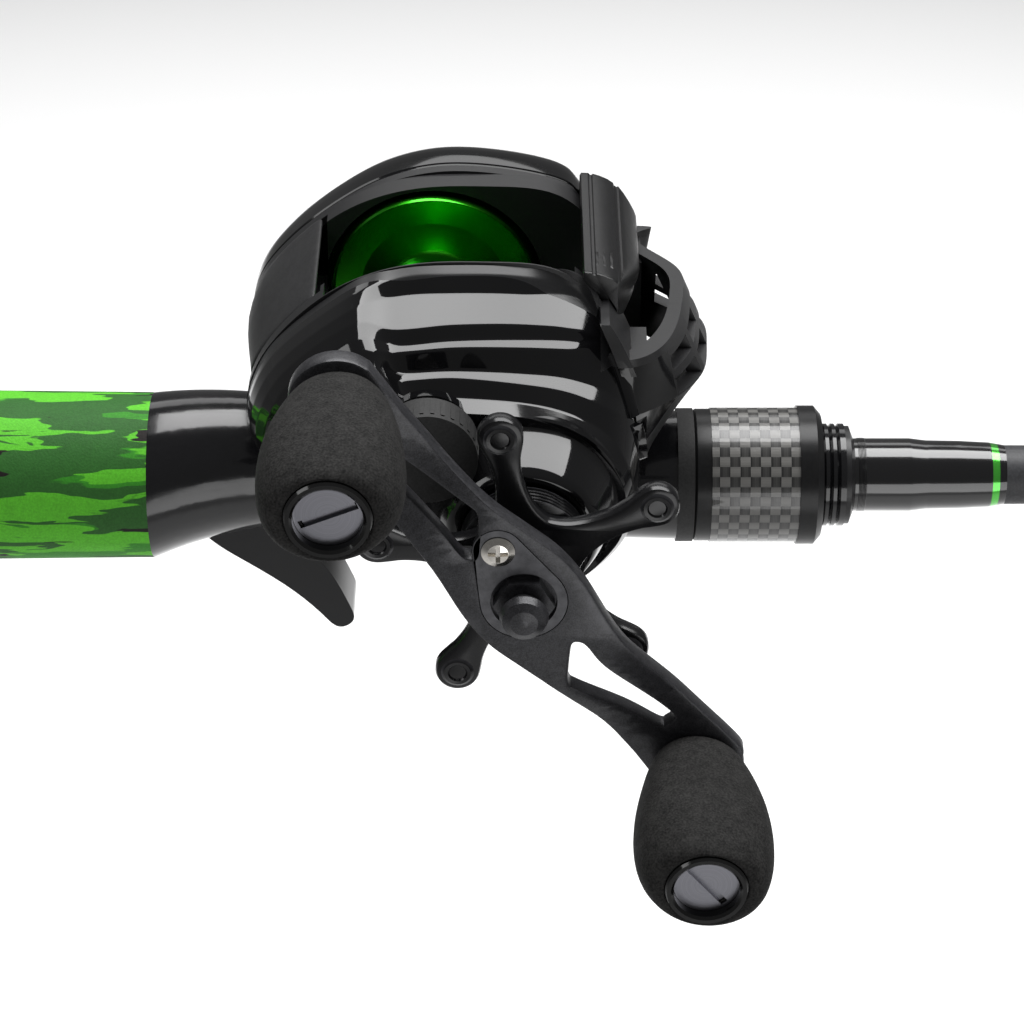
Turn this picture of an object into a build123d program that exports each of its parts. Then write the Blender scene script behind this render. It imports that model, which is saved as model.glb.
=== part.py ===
"""Casting rod with a low-profile bait-casting reel, right-hand crank.

Frame: X runs along the rod towards its tip, Y to the angler's left, Z up.
The origin is on the rod's axis, straight below the spool's axis. Millimetres.
"""
import math
import os

from build123d import *

# ---------------------------------------------------------------- rod, driving sizes
ROD_LENGTH = 1981.0            # butt to tip-top, a 6 ft 6 in casting rod
BUTT_X = -272.0                # rear end of the butt cap
BLANK_BUTT_R = 6.4             # blank outside, at the butt
BLANK_FORE_R = 5.0             # blank outside, just ahead of the fore wrap
BLANK_TIP_R = 0.95             # blank outside, at the tip-top
BLANK_WALL_BUTT = 1.3
BLANK_WALL_TIP = 0.45
BUTT_CAP_LENGTH = 12.0
BUTT_CAP_R = 14.0
BUTT_CAP_FACE_R = 9.0
BUTT_GRIP_LENGTH = 104.0
BUTT_GRIP_R = 14.3
SEAT_GRIP_LENGTH = 62.0
SEAT_GRIP_R = 14.3             # foam grip behind the seat, at its fullest
SEAT_GRIP_END_R = 14.0         # where it meets the seat
GRIP_TAIL_R = 9.6              # both foam grips, at the bare-blank end
CHECK_RING_LENGTH = 2.4
CHECK_RING_R = 8.2

# ---------------------------------------------------------------- reel seat
SEAT_REAR_X = -47.6
SEAT_CORE_R = 7.5              # tube that the reel foot lies on
SEAT_THREAD_R = 8.7
SEAT_THREAD_START_X = 34.0
SEAT_FRONT_X = 69.0
THREAD_PITCH = 1.25
THREAD_DEPTH = 0.45
REAR_HOOD_X = -25.5            # open mouth of the fixed hood
TRIGGER_WIDTH = 10.0
TRIGGER_TIP = (-15.4, -27.6)   # X and Z
HOOD_REAR_X = 25.0             # mouth of the sliding hood
HOOD_FRONT_X = 40.7
HOOD_R = 10.9
HOOD_TRAVEL = 4 * THREAD_PITCH
WASHER_LENGTH = 2.8
WASHER_R = 11.3
NUT_COLLAR_LENGTH = 2.8
NUT_COLLAR_R = 11.2
CARBON_LENGTH = 14.7
CARBON_R = 11.4
NUT_RING_LENGTH = 4.0
NUT_RING_R = 11.75
FORE_COLLAR_LENGTH = 1.7
FORE_COLLAR_R = 8.3
FORE_WRAP_LENGTH = 25.6
FORE_WRAP_R = 6.2

# ---------------------------------------------------------------- line guides
GUIDE_STEPS = (100, 110, 120, 135, 155, 180, 205, 230)   # from the tip-top back
GUIDE_RING_R = (2.9, 2.9, 3.0, 3.2, 3.6, 4.2, 5.1, 6.2)  # ceramic ring, outside
GUIDE_RING_WALL = 0.75
GUIDE_HOOP = 0.8               # metal round the ring
GUIDE_RING_DEPTH = 1.8
GUIDE_RISE = 1.05              # clear height under the hoop, in ring radii
GUIDE_FOOT = 0.7
GUIDE_LEG_WIDTH = 2.0
WRAP_LENGTH = 12.0
WRAP_SKIN = 0.35
TIP_TUBE_LENGTH = 14.0
TIP_RING_R = 3.0

# ---------------------------------------------------------------- reel, driving sizes
SPOOL_Z = 30.0
SPOOL_R = 18.0
SPOOL_GEAR_R = 16.2             # flange on the gear side, sunk below the frame's rim
SPOOL_HALF = 11.0              # line space, to the inside of each flange
SPOOL_FLANGE = 1.1
SPOOL_ARBOR_R = 7.2
SPOOL_WALL = 1.3
ARBOR_HOLE_R = 1.3
SPOOL_SHAFT_R = 1.25
MAIN_X = 14.8                  # crank axis
MAIN_Z = 16.5
WORM_X = 26.0                  # level-wind worm axis
WORM_Z = 27.5
PLATE_IN = 10.8                # frame plates, inner face
PLATE_OUT = 15.2               # frame plates, outer face
PLATE_RECESS = 12.6            # floor of the spool recess on the gear side
FIT = 0.05                     # radial running clearance
GAP = 0.4                      # clearance between moving faces

MAIN_TEETH = 64
PINION_TEETH = 10
LINE_DRIVE_TEETH = 30
LINE_WORM_TEETH = 12
PRESSURE_ANGLE = math.radians(25)
ADDENDUM = 0.8
DEDENDUM = 1.05
BACKLASH = 0.14

SHAFT_R = 2.5
COVER_FACE_Y = 34.7            # flat round the crank boss, gear side
BOSS_END_Y = 44.4
BOSS_BASE_R = 15.4
BOSS_END_R = 11.0
BOSS_LIP_R = 16.6
GEAR_LOBE_R = 19.7
PALM_FACE_Y = 29.4

STAR_Y = 49.0                  # star arms, face towards the reel
STAR_THICK = 3.0
STAR_ARMS = 5
STAR_TIP_CIRCLE_R = 22.8
STAR_TIP_R = 3.5
STAR_HUB_R = 6.6
STAR_SKIRT_R = 9.9
STAR_FIRST_ANGLE = 27.0

HANDLE_Y = 58.6                # middle of the crank arm, face towards the reel
HANDLE_THICK = 3.4
HANDLE_BOW = 3.0               # how far the ends step back towards the reel
HANDLE_HALF = 42.9             # crank axis to knob axis
HANDLE_ANGLE = -50.4           # second knob, from +X towards +Z
HANDLE_MID_HALF_WIDTH = 9.4
HANDLE_ARM_HALF_WIDTH = 5.6
HANDLE_END_R = 7.3
RETAINER_THICK = 1.0
NUT_HOLE_R = 5.1
KNOB_LENGTH = 31.0
KNOB_R = 11.0                  # half of the paddle's width
KNOB_FLAT = 8.6                # half of its thickness
SPINDLE_R = 2.0
KNOB_CAP_R = 6.3

CAST_CAP_R = 7.8
CAST_CAP_START_Y = 37.6
CAST_CAP_LENGTH = 5.6
THUMB_START_Y = -12.3
THUMB_END_Y = 14.9
THUMB_TRAVEL = 3.6
CLUTCH_TRAVEL = 1.6
GUIDE_TRAVEL = 6.9             # line guide, each way

# Side outline of the reel, X and Z, starting at the rear corner.
OUTLINE = (
    (-30.0, 22.0), (-28.3, 30.0), (-22.4, 38.3), (-13.5, 45.3), (-2.0, 48.9), (10.0, 49.2),
    (21.0, 47.4), (27.3, 41.0), (31.0, 33.0), (33.8, 24.0), (33.0, 15.5), (26.5, 10.6),
    (14.0, 9.6), (-4.0, 12.4), (-17.0, 15.6), (-26.5, 17.6),
)
OUTLINE_CENTRE = (2.5, 29.0)
PALM_OUTLINE = (
    (-31.2, 21.3), (-29.4, 29.1), (-24.0, 36.2), (-16.1, 42.8), (-8.0, 47.4), (1.0, 49.6), (11.0, 49.2),
    (21.0, 46.9), (27.3, 41.0), (31.0, 33.0), (33.8, 24.0), (32.6, 15.5), (25.5, 10.6), (10.0, 9.6), (-10.0, 9.8),
    (-24.0, 10.6), (-30.4, 13.4),
)
# Front joint between the side covers and the frame's nose, X and Z, top to bottom.
JOINT = ((23.4, 52.0), (24.4, 48.0), (26.2, 43.6), (28.4, 38.1), (30.4, 32.6), (32.6, 26.1), (33.4, 18.6), (32.0, 12.0),
         (27.0, 6.0))
JOINT_GAP = 0.15

LOW = (Align.CENTER, Align.CENTER, Align.MIN)
CRANK_SIDE = -1
PALM_SIDE = 1


# ---------------------------------------------------------------- helpers
def bar_y(x, z, radius, y_a, y_b):
    """Round bar along Y."""
    low, high = sorted((y_a, y_b))
    return Pos(x, low, z) * Rot(-90, 0, 0) * Cylinder(radius, high - low, align=LOW)


def tube_y(x, z, radius, bore, y_a, y_b):
    """Round tube along Y."""
    return bar_y(x, z, radius, y_a, y_b) - bar_y(x, z, bore, y_a, y_b)


def bar_x(radius, x_a, x_b, y=0.0, z=0.0):
    """Round bar along X."""
    return Pos(x_a, y, z) * Rot(0, 90, 0) * Cylinder(radius, x_b - x_a, align=LOW)


def turned_x(points):
    """Solid of revolution about the rod's axis, from (x, radius) points."""
    return revolve(make_face(Plane.XZ * Polyline(*points, close=True)), Axis.X)


def turned_y(x, z, points):
    """Solid of revolution about a cross axis, from (radius, y) points."""
    return Pos(x, 0, z) * revolve(make_face(Polyline(*points, close=True)), Axis.Y)


def plate_xz(face, y_a, y_b):
    """A face drawn in X and Z, as a plate from y_a to y_b."""
    low, high = sorted((y_a, y_b))
    return extrude(Plane.XZ.offset(-high) * face, amount=high - low)


def block(x_a, x_b, y_a, y_b, z_a, z_b):
    """Box between two corners."""
    size = (abs(x_b - x_a), abs(y_b - y_a), abs(z_b - z_a))
    middle = ((x_a + x_b) / 2, (y_a + y_b) / 2, (z_a + z_b) / 2)
    return Pos(*middle) * Box(*size)


def outline_face(scale=1.0, outline=OUTLINE):
    """The reel's side outline, scaled about its middle."""
    cx, cz = OUTLINE_CENTRE
    points = [(cx + (x - cx) * scale, cz + (z - cz) * scale) for x, z in outline]
    return make_face(Spline(*points, periodic=True))


def ahead_of_joint(shift, y_a, y_b):
    """Everything in front of the covers' front joint, from y_a to y_b."""
    edge = [(x + shift, z) for x, z in JOINT]
    face = make_face(Polyline(*edge, (70.0, 6.0), (70.0, 52.0), close=True))
    return plate_xz(face, y_a, y_b)


def blank_radius(x):
    """Outside radius of the blank at x."""
    fore_x = SEAT_FRONT_X + FORE_COLLAR_LENGTH + FORE_WRAP_LENGTH
    tip_x = BUTT_X + ROD_LENGTH - TIP_TUBE_LENGTH / 2
    if x <= fore_x:
        share = (x - BUTT_X) / (fore_x - BUTT_X)
        return BLANK_BUTT_R + (BLANK_FORE_R - BLANK_BUTT_R) * share
    share = (x - fore_x) / (tip_x - fore_x)
    return BLANK_FORE_R + (BLANK_TIP_R - BLANK_FORE_R) * share


def blank_core():
    """The blank as if it were solid, to cut what fits round it."""
    fore_x = SEAT_FRONT_X + FORE_COLLAR_LENGTH + FORE_WRAP_LENGTH
    tip_x = BUTT_X + ROD_LENGTH - TIP_TUBE_LENGTH / 2
    start = BUTT_X + BUTT_CAP_LENGTH / 2
    return turned_x([
        (start, 0), (start, blank_radius(start)), (fore_x, BLANK_FORE_R), (tip_x, BLANK_TIP_R), (tip_x, 0),
    ])


def gear_face(teeth, module, phase, backlash=BACKLASH):
    """Toothed disc with three-point flanks on the involute; phase is the angle of one tooth."""
    pitch = module * teeth / 2
    base = pitch * math.cos(PRESSURE_ANGLE)
    tip = pitch + ADDENDUM * module
    root = pitch - DEDENDUM * module
    involute = math.tan(PRESSURE_ANGLE) - PRESSURE_ANGLE
    half = math.pi / (2 * teeth) - backlash / (2 * pitch)
    flank = []
    for radius in (root, max(pitch, base), tip):
        tilt = math.acos(min(1.0, base / radius)) if radius > base else 0.0
        flank.append((radius, half + involute - (math.tan(tilt) - tilt)))
    points = []
    for n in range(teeth):
        middle = phase + 2 * math.pi * n / teeth
        for radius, spread in flank:
            points.append((radius * math.cos(middle - spread), radius * math.sin(middle - spread)))
        for radius, spread in reversed(flank):
            points.append((radius * math.cos(middle + spread), radius * math.sin(middle + spread)))
    return make_face(Polyline(*points, close=True))


def meshing(from_x, from_z, to_x, to_z, driver_teeth, driven_teeth):
    """Centre distance, module, and the phases that put two gears in mesh."""
    distance = math.hypot(to_x - from_x, to_z - from_z)
    angle = math.atan2(to_z - from_z, to_x - from_x)
    module = 2 * distance / (driver_teeth + driven_teeth)
    return module, angle, angle + math.pi - math.pi / driven_teeth


def handle_point(along, across):
    """Crank-arm coordinates to X and Z: along points at the second knob."""
    turn = math.radians(HANDLE_ANGLE)
    x = MAIN_X + along * math.cos(turn) - across * math.sin(turn)
    z = MAIN_Z + along * math.sin(turn) + across * math.cos(turn)
    return x, z


# ---------------------------------------------------------------- rod
def rod_pieces(parts):
    fore_x = SEAT_FRONT_X + FORE_COLLAR_LENGTH + FORE_WRAP_LENGTH
    tip_x = BUTT_X + ROD_LENGTH - TIP_TUBE_LENGTH / 2
    start = BUTT_X + BUTT_CAP_LENGTH / 2
    core = blank_core()
    parts["rod_blank"] = turned_x([
        (start, blank_radius(start)), (fore_x, BLANK_FORE_R), (tip_x, BLANK_TIP_R),
        (tip_x, BLANK_TIP_R - BLANK_WALL_TIP), (start, blank_radius(start) - BLANK_WALL_BUTT),
    ])

    cap_end = BUTT_X + BUTT_CAP_LENGTH
    cap = turned_x([
        (BUTT_X, 0), (BUTT_X, BUTT_CAP_FACE_R), (BUTT_X + 1.2, 11.9), (BUTT_X + 4.0, 13.6),
        (BUTT_X + 7.0, BUTT_CAP_R), (cap_end, BUTT_CAP_R), (cap_end, 0),
    ])
    parts["butt_cap"] = cap - core

    grip_end = cap_end + BUTT_GRIP_LENGTH
    butt_grip = turned_x([
        (cap_end, 0), (cap_end, BUTT_GRIP_R), (grip_end - 34, BUTT_GRIP_R), (grip_end - 16, 13.2),
        (grip_end - 5, 11.2), (grip_end, GRIP_TAIL_R), (grip_end, 0),
    ])
    parts["butt_grip"] = butt_grip - core

    tail_x = SEAT_REAR_X - SEAT_GRIP_LENGTH
    seat_grip = turned_x([
        (tail_x, 0), (tail_x, GRIP_TAIL_R), (tail_x + 5, 11.2), (tail_x + 16, 13.2), (tail_x + 34, SEAT_GRIP_R),
        (SEAT_REAR_X, SEAT_GRIP_END_R), (SEAT_REAR_X, 0),
    ])
    parts["seat_grip"] = seat_grip - core

    rings = [
        bar_x(CHECK_RING_R, grip_end, grip_end + CHECK_RING_LENGTH) - core,
        bar_x(CHECK_RING_R, tail_x - CHECK_RING_LENGTH, tail_x) - core,
    ]
    parts["grip_check_rings"] = Compound(children=rings)

    collar_end = SEAT_FRONT_X + FORE_COLLAR_LENGTH
    collar = turned_x([
        (SEAT_FRONT_X, 0), (SEAT_FRONT_X, FORE_COLLAR_R), (SEAT_FRONT_X + 0.9, FORE_COLLAR_R),
        (collar_end, FORE_WRAP_R), (collar_end, 0),
    ])
    parts["fore_collar"] = collar - core
    wrap = turned_x([
        (collar_end, 0), (collar_end, FORE_WRAP_R), (collar_end + 9.6, FORE_WRAP_R), (collar_end + 12.4, 5.85),
        (collar_end + 18.0, 5.75), (collar_end + 23.0, 5.5), (fore_x, BLANK_FORE_R + 0.05), (fore_x, 0),
    ])
    parts["fore_wrap"] = wrap - core


def line_guides(parts):
    core = blank_core()
    tip_end = BUTT_X + ROD_LENGTH
    frames, rings, wraps = [], [], []
    x = tip_end - TIP_TUBE_LENGTH
    for step, ring_r in zip(GUIDE_STEPS, GUIDE_RING_R):
        x -= step
        hoop_r = ring_r + GUIDE_HOOP
        blank = blank_radius(x)
        ring_z = blank + GUIDE_RISE * ring_r + hoop_r
        reach = 1.5 * ring_r + 2.0
        foot_end = reach + WRAP_LENGTH - 2.0
        ring_half = GUIDE_RING_DEPTH / 2
        hoop = bar_x(hoop_r, x - ring_half, x + ring_half, z=ring_z)
        hole = bar_x(ring_r, x - ring_half, x + ring_half, z=ring_z)
        top = blank + GUIDE_FOOT
        low_hoop = ring_z - hoop_r
        legs = []
        for way in (-1, 1):
            edge = [
                (x + way * 0.2, low_hoop - 0.2), (x + way * ring_half, low_hoop + 0.6),
                (x + way * reach, top), (x + way * foot_end, blank + 0.3), (x + way * foot_end, blank - 1.0),
                (x + way * (reach - 1.0), blank - 1.0),
            ]
            face = make_face(Polyline(*edge, close=True))
            legs.append(plate_xz(face, -GUIDE_LEG_WIDTH / 2, GUIDE_LEG_WIDTH / 2))
        frame = (hoop + legs[0] + legs[1]) - hole - core
        frames.append(frame.solid())
        rings.append(bar_x(ring_r, x - ring_half, x + ring_half, z=ring_z)
                     - bar_x(ring_r - GUIDE_RING_WALL, x - ring_half, x + ring_half, z=ring_z))
        for way in (-1, 1):
            near = x + way * reach
            far = x + way * (reach + WRAP_LENGTH)
            low, high = sorted((near, far))
            skin = blank_radius(low) + GUIDE_FOOT + WRAP_SKIN
            thin = blank_radius(high) + 0.2
            ends = [(low, skin), (high - 2.0, skin), (high, thin)] if way > 0 else \
                   [(low, thin), (low + 2.0, skin), (high, skin)]
            wrap = turned_x([(low, 0), *ends, (high, 0)]) - core - frame
            wraps.append(wrap.solids().sort_by(SortBy.VOLUME)[-1])
    parts["guide_frames"] = Compound(children=frames)
    parts["guide_wraps"] = Compound(children=wraps)

    tube_r = blank_radius(tip_end) + 0.45
    ring_z = TIP_RING_R + GUIDE_HOOP + 0.3
    hoop_x = tip_end - GUIDE_RING_DEPTH
    hoop = bar_x(TIP_RING_R + GUIDE_HOOP, hoop_x, tip_end, z=ring_z)
    leg = plate_xz(make_face(Polyline(
        (tip_end - TIP_TUBE_LENGTH + 2, 0.2), (hoop_x + 0.2, ring_z - 1.5), (tip_end - 0.2, -0.4),
        (tip_end - TIP_TUBE_LENGTH + 2, -0.8), close=True)), -0.9, 0.9)
    tube = bar_x(tube_r, tip_end - TIP_TUBE_LENGTH, tip_end - 1.0)
    tip = tube + leg + hoop - bar_x(TIP_RING_R, hoop_x - 3.0, tip_end + 1, z=ring_z) - core
    parts["tip_top"] = tip
    rings.append(bar_x(TIP_RING_R, hoop_x, tip_end, z=ring_z)
                 - bar_x(TIP_RING_R - GUIDE_RING_WALL, hoop_x, tip_end, z=ring_z))
    parts["guide_rings"] = Compound(children=rings)


# ---------------------------------------------------------------- reel seat
FOOT_BOTTOM_R = SEAT_CORE_R + 0.1
FOOT_TOP_R = FOOT_BOTTOM_R + 1.9
FOOT_REAR_X = -31.0
FOOT_FRONT_X = 31.5
FOOT_HALF_WIDTH = 7.4


def hood_pocket(x_a, x_b):
    """Room for one end of the reel foot between a hood and the seat's core."""
    band = bar_x(FOOT_TOP_R + 0.25, x_a, x_b) - bar_x(SEAT_CORE_R, x_a, x_b)
    return band & block(x_a, x_b, -FOOT_HALF_WIDTH - 0.5, FOOT_HALF_WIDTH + 0.5, 0, 20)


def seat_pieces(parts):
    core = blank_core()
    barrel = loft([
        Plane((SEAT_REAR_X, 0, 0), x_dir=(0, 1, 0), z_dir=(1, 0, 0)) * Circle(SEAT_GRIP_END_R),
        Plane((-37.0, 0, 2.4), x_dir=(0, 1, 0), z_dir=(1, 0, 0)) * Circle(12.4),
        Plane((REAR_HOOD_X, 0, 3.0), x_dir=(0, 1, 0), z_dir=(1, 0, 0)) * Circle(11.0),
    ])
    tip_x, tip_z = TRIGGER_TIP
    edge = [
        (-41.0, -6.0), (-38.5, -9.6), (-33.0, -14.0), (tip_x - 3.8, tip_z + 1.6), (tip_x - 1.2, tip_z - 0.4),
        (tip_x + 1.0, tip_z + 1.0), (tip_x + 0.6, tip_z + 3.8), (-19.2, -15.0), (-21.6, -10.4), (-21.0, -6.0),
    ]
    trigger = plate_xz(make_face(Spline(*edge, periodic=True)), -TRIGGER_WIDTH / 2, TRIGGER_WIDTH / 2)
    tube = bar_x(SEAT_CORE_R, REAR_HOOD_X - 1.0, SEAT_THREAD_START_X)
    body = barrel + tube + trigger
    body -= hood_pocket(FOOT_REAR_X - 1.0, REAR_HOOD_X + 1.0)
    thread = bar_x(SEAT_THREAD_R, SEAT_THREAD_START_X, SEAT_FRONT_X)
    turns = int((SEAT_FRONT_X - SEAT_THREAD_START_X) / THREAD_PITCH) - 1
    for n in range(turns):
        mid = SEAT_THREAD_START_X + (n + 1) * THREAD_PITCH
        thread -= turned_x([
            (mid - THREAD_PITCH * 0.32, SEAT_THREAD_R + 0.1), (mid + THREAD_PITCH * 0.32, SEAT_THREAD_R + 0.1),
            (mid, SEAT_THREAD_R - THREAD_DEPTH),
        ])
    parts["reel_seat"] = body + thread - core

    clear = SEAT_THREAD_R + FIT
    hood = turned_x([
        (HOOD_REAR_X, 0), (HOOD_REAR_X, HOOD_R - 0.9), (HOOD_REAR_X + 3, HOOD_R - 0.35),
        (HOOD_FRONT_X, HOOD_R), (HOOD_FRONT_X, 0),
    ])
    hood -= bar_x(SEAT_CORE_R + FIT, HOOD_REAR_X, SEAT_THREAD_START_X)
    hood -= bar_x(clear, SEAT_THREAD_START_X - HOOD_TRAVEL - GAP, HOOD_FRONT_X)
    hood -= hood_pocket(HOOD_REAR_X - 1, FOOT_FRONT_X + 0.3)
    parts["seat_hood"] = hood
    washer_end = HOOD_FRONT_X + WASHER_LENGTH
    parts["hood_washer"] = bar_x(WASHER_R, HOOD_FRONT_X, washer_end) - bar_x(clear, HOOD_FRONT_X, washer_end)

    nut_start = washer_end + 0.06
    collar_end = nut_start + NUT_COLLAR_LENGTH
    sleeve_end = collar_end + CARBON_LENGTH
    nut_end = sleeve_end + NUT_RING_LENGTH
    sleeve_bore = SEAT_THREAD_R + 1.5
    nut = turned_x([
        (nut_start, 0), (nut_start, NUT_COLLAR_R - 0.3), (nut_start + 0.4, NUT_COLLAR_R), (collar_end, NUT_COLLAR_R),
        (collar_end, sleeve_bore), (sleeve_end, sleeve_bore), (sleeve_end, NUT_RING_R),
        (nut_end - 1.1, NUT_RING_R), (nut_end, NUT_RING_R - 1.3), (nut_end, 0),
    ])
    parts["lock_nut"] = nut - bar_x(clear, nut_start - 1, nut_end + 1)
    parts["carbon_sleeve"] = bar_x(CARBON_R, collar_end, sleeve_end) - bar_x(sleeve_bore, collar_end, sleeve_end)


# ---------------------------------------------------------------- reel frame and covers
SCREW_PLACES = ((-20.4, 18.7), (14.0, 45.2), (22.6, 40.0))   # gear-side cover screws
SCREW_R = 1.0
SCREW_HEAD_R = 1.5
BEARING_R = 5.0
BEARING_BORE_R = 3.15
THUMB_SLOT = (-24.6, -19.8, 24.0, 31.5)
NOSE_LEVELS = ((12.0, 35.5, 15.5), (16.5, 39.6, 18.0), (26.0, 45.2, 23.4), (36.0, 41.0, 22.6))
NOSE_SKEW_Y = -0.6
NOSE_WALL = 2.2
RIM_SLOPE = 0.835               # outline left at the gear plate's inner face


def nose_section(height, front, half_width, shrink):
    """One level of the frame's nose: straight sides and a bowed front."""
    half = half_width - shrink
    tip = front - shrink
    side = 36.0 - shrink
    edge = Line((10, -half), (side - 6, -half)) + Spline(
        (side - 6, -half), (side - 1.2, -half + 1.9), (tip - 1.0, -half * 0.38), (tip, 0), (tip - 1.0, half * 0.38),
        (side - 1.2, half - 1.9), (side - 6, half), tangents=((1, 0), (-1, 0)))
    edge += Line((side - 6, half), (10, half)) + Line((10, half), (10, -half))
    return Pos(0, NOSE_SKEW_Y, height) * make_face(edge)


def nose_shell():
    outer = loft([nose_section(z, front, half, 0) for z, front, half in NOSE_LEVELS], ruled=True)
    inner = loft([nose_section(z, front, half, NOSE_WALL) for z, front, half in NOSE_LEVELS], ruled=True)
    top_z, top_front, top_half = NOSE_LEVELS[-1]
    inner += extrude(nose_section(top_z - 0.05, top_front, top_half, NOSE_WALL), amount=3)
    inner &= block(0, 60, -60, 60, NOSE_LEVELS[0][0] + 1.8, 60)
    shell = outer - inner
    shell &= ahead_of_joint(JOINT_GAP, -60, 60)
    for low, high in ((30.6, 33.2), (26.2, 29.2)):
        for place in (-13.5, -4.5, 4.5, 13.5):
            shell -= block(37.0, 50.0, place - 3.6, place + 3.6, low, high)
    shell -= block(31.0, 39.5, 7.0, 30.0, 8.0, 21.0)
    recess = make_face(Polyline((33.6, 33.8), (37.4, 33.6), (40.0, 27.0), (36.4, 25.2), (34.4, 28.0), close=True))
    shell -= plate_xz(recess, -26.0, -22.6)
    return shell


def reel_frame(parts):
    ring_clear = bar_y(0, SPOOL_Z, SPOOL_R + GAP, -PLATE_RECESS, PLATE_OUT + 1)
    gear_plate = plate_xz(outline_face(), -PLATE_OUT, -PLATE_IN)
    palm_plate = plate_xz(outline_face(), PLATE_IN, PLATE_OUT)
    floor = block(-16, 22, -PLATE_IN, PLATE_IN, 9.8, 11.4)
    floor &= plate_xz(outline_face(), -PLATE_OUT, PLATE_OUT)
    floor += block(-12, 20, -PLATE_IN, PLATE_IN, FOOT_TOP_R, 11.4)
    rear = plate_xz(outline_face(), -PLATE_IN, PLATE_IN) & block(-31, -19.0, -PLATE_IN, PLATE_IN, 15.0, 20.4)
    webs = ahead_of_joint(JOINT_GAP, -NOSE_LEVELS[-1][2] + 1, NOSE_LEVELS[-1][2] - 2)
    webs &= block(20, 34.6, -60, 60, 13.5, 35.0) & (block(0, 60, -60, -PLATE_IN, 0, 60) + block(
        0, 60, PLATE_IN, 60, 21.5, 60))
    lip = ahead_of_joint(JOINT_GAP, -NOSE_LEVELS[-1][2] - 0.6, -PLATE_IN) & plate_xz(outline_face(1.06), -60, 60)
    lip &= block(20, 40, -60, 60, 33, 42.4)
    # the gear plate's top slopes down to the spool, so that a thumb clears it
    slope = loft([Plane.XZ.offset(PLATE_OUT) * outline_face(), Plane.XZ.offset(PLATE_IN - 0.4) * outline_face(RIM_SLOPE)])
    gear_plate -= block(-17.0, 23.0, -PLATE_OUT + 0.3, -PLATE_IN, 36.0, 60.0) - slope
    body = gear_plate + palm_plate + floor + rear + nose_shell() + webs + lip
    body -= ring_clear
    body -= block(20, 34.8, -PLATE_IN, PLATE_IN, 16.5, 60)
    body -= bar_y(0, SPOOL_Z, BEARING_R, -PLATE_OUT, -PLATE_RECESS)
    body -= bar_y(MAIN_X, MAIN_Z, SHAFT_R + FIT, -PLATE_OUT - 1, -PLATE_RECESS - 0.2)
    body -= bar_y(WORM_X, WORM_Z, 3.0, -PLATE_OUT - 1, PLATE_OUT + 1)
    body -= block(-40, -17.6, -PLATE_RECESS, PLATE_OUT + 1, 20.1, 60)
    x_a, x_b, z_a, z_b = THUMB_SLOT
    body -= block(x_a, x_b, -PLATE_OUT - 1, -PLATE_IN, z_a - THUMB_TRAVEL, z_b)
    for x, z in SCREW_PLACES:
        body -= bar_y(x, z, SCREW_R, -PLATE_OUT - 1, -PLATE_IN)
        body -= bar_y(x, z, SCREW_HEAD_R, -PLATE_RECESS, -PLATE_IN + 1)
    parts["reel_frame"] = body.solids().sort_by(SortBy.VOLUME)[-1]

    band = bar_x(FOOT_TOP_R, FOOT_REAR_X, FOOT_FRONT_X) - bar_x(FOOT_BOTTOM_R, FOOT_REAR_X, FOOT_FRONT_X)
    plan = extrude(Pos((FOOT_REAR_X + FOOT_FRONT_X) / 2, 0, 0) * SlotOverall(
        FOOT_FRONT_X - FOOT_REAR_X, 2 * FOOT_HALF_WIDTH), amount=20)
    foot = (band & plan) + (block(-12, 20, -5.5, 5.5, FOOT_TOP_R - 1.5, FOOT_TOP_R)
                            - bar_x(FOOT_BOTTOM_R, -30, 30))
    parts["reel_foot"] = foot.solids().sort_by(SortBy.VOLUME)[-1]


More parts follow.
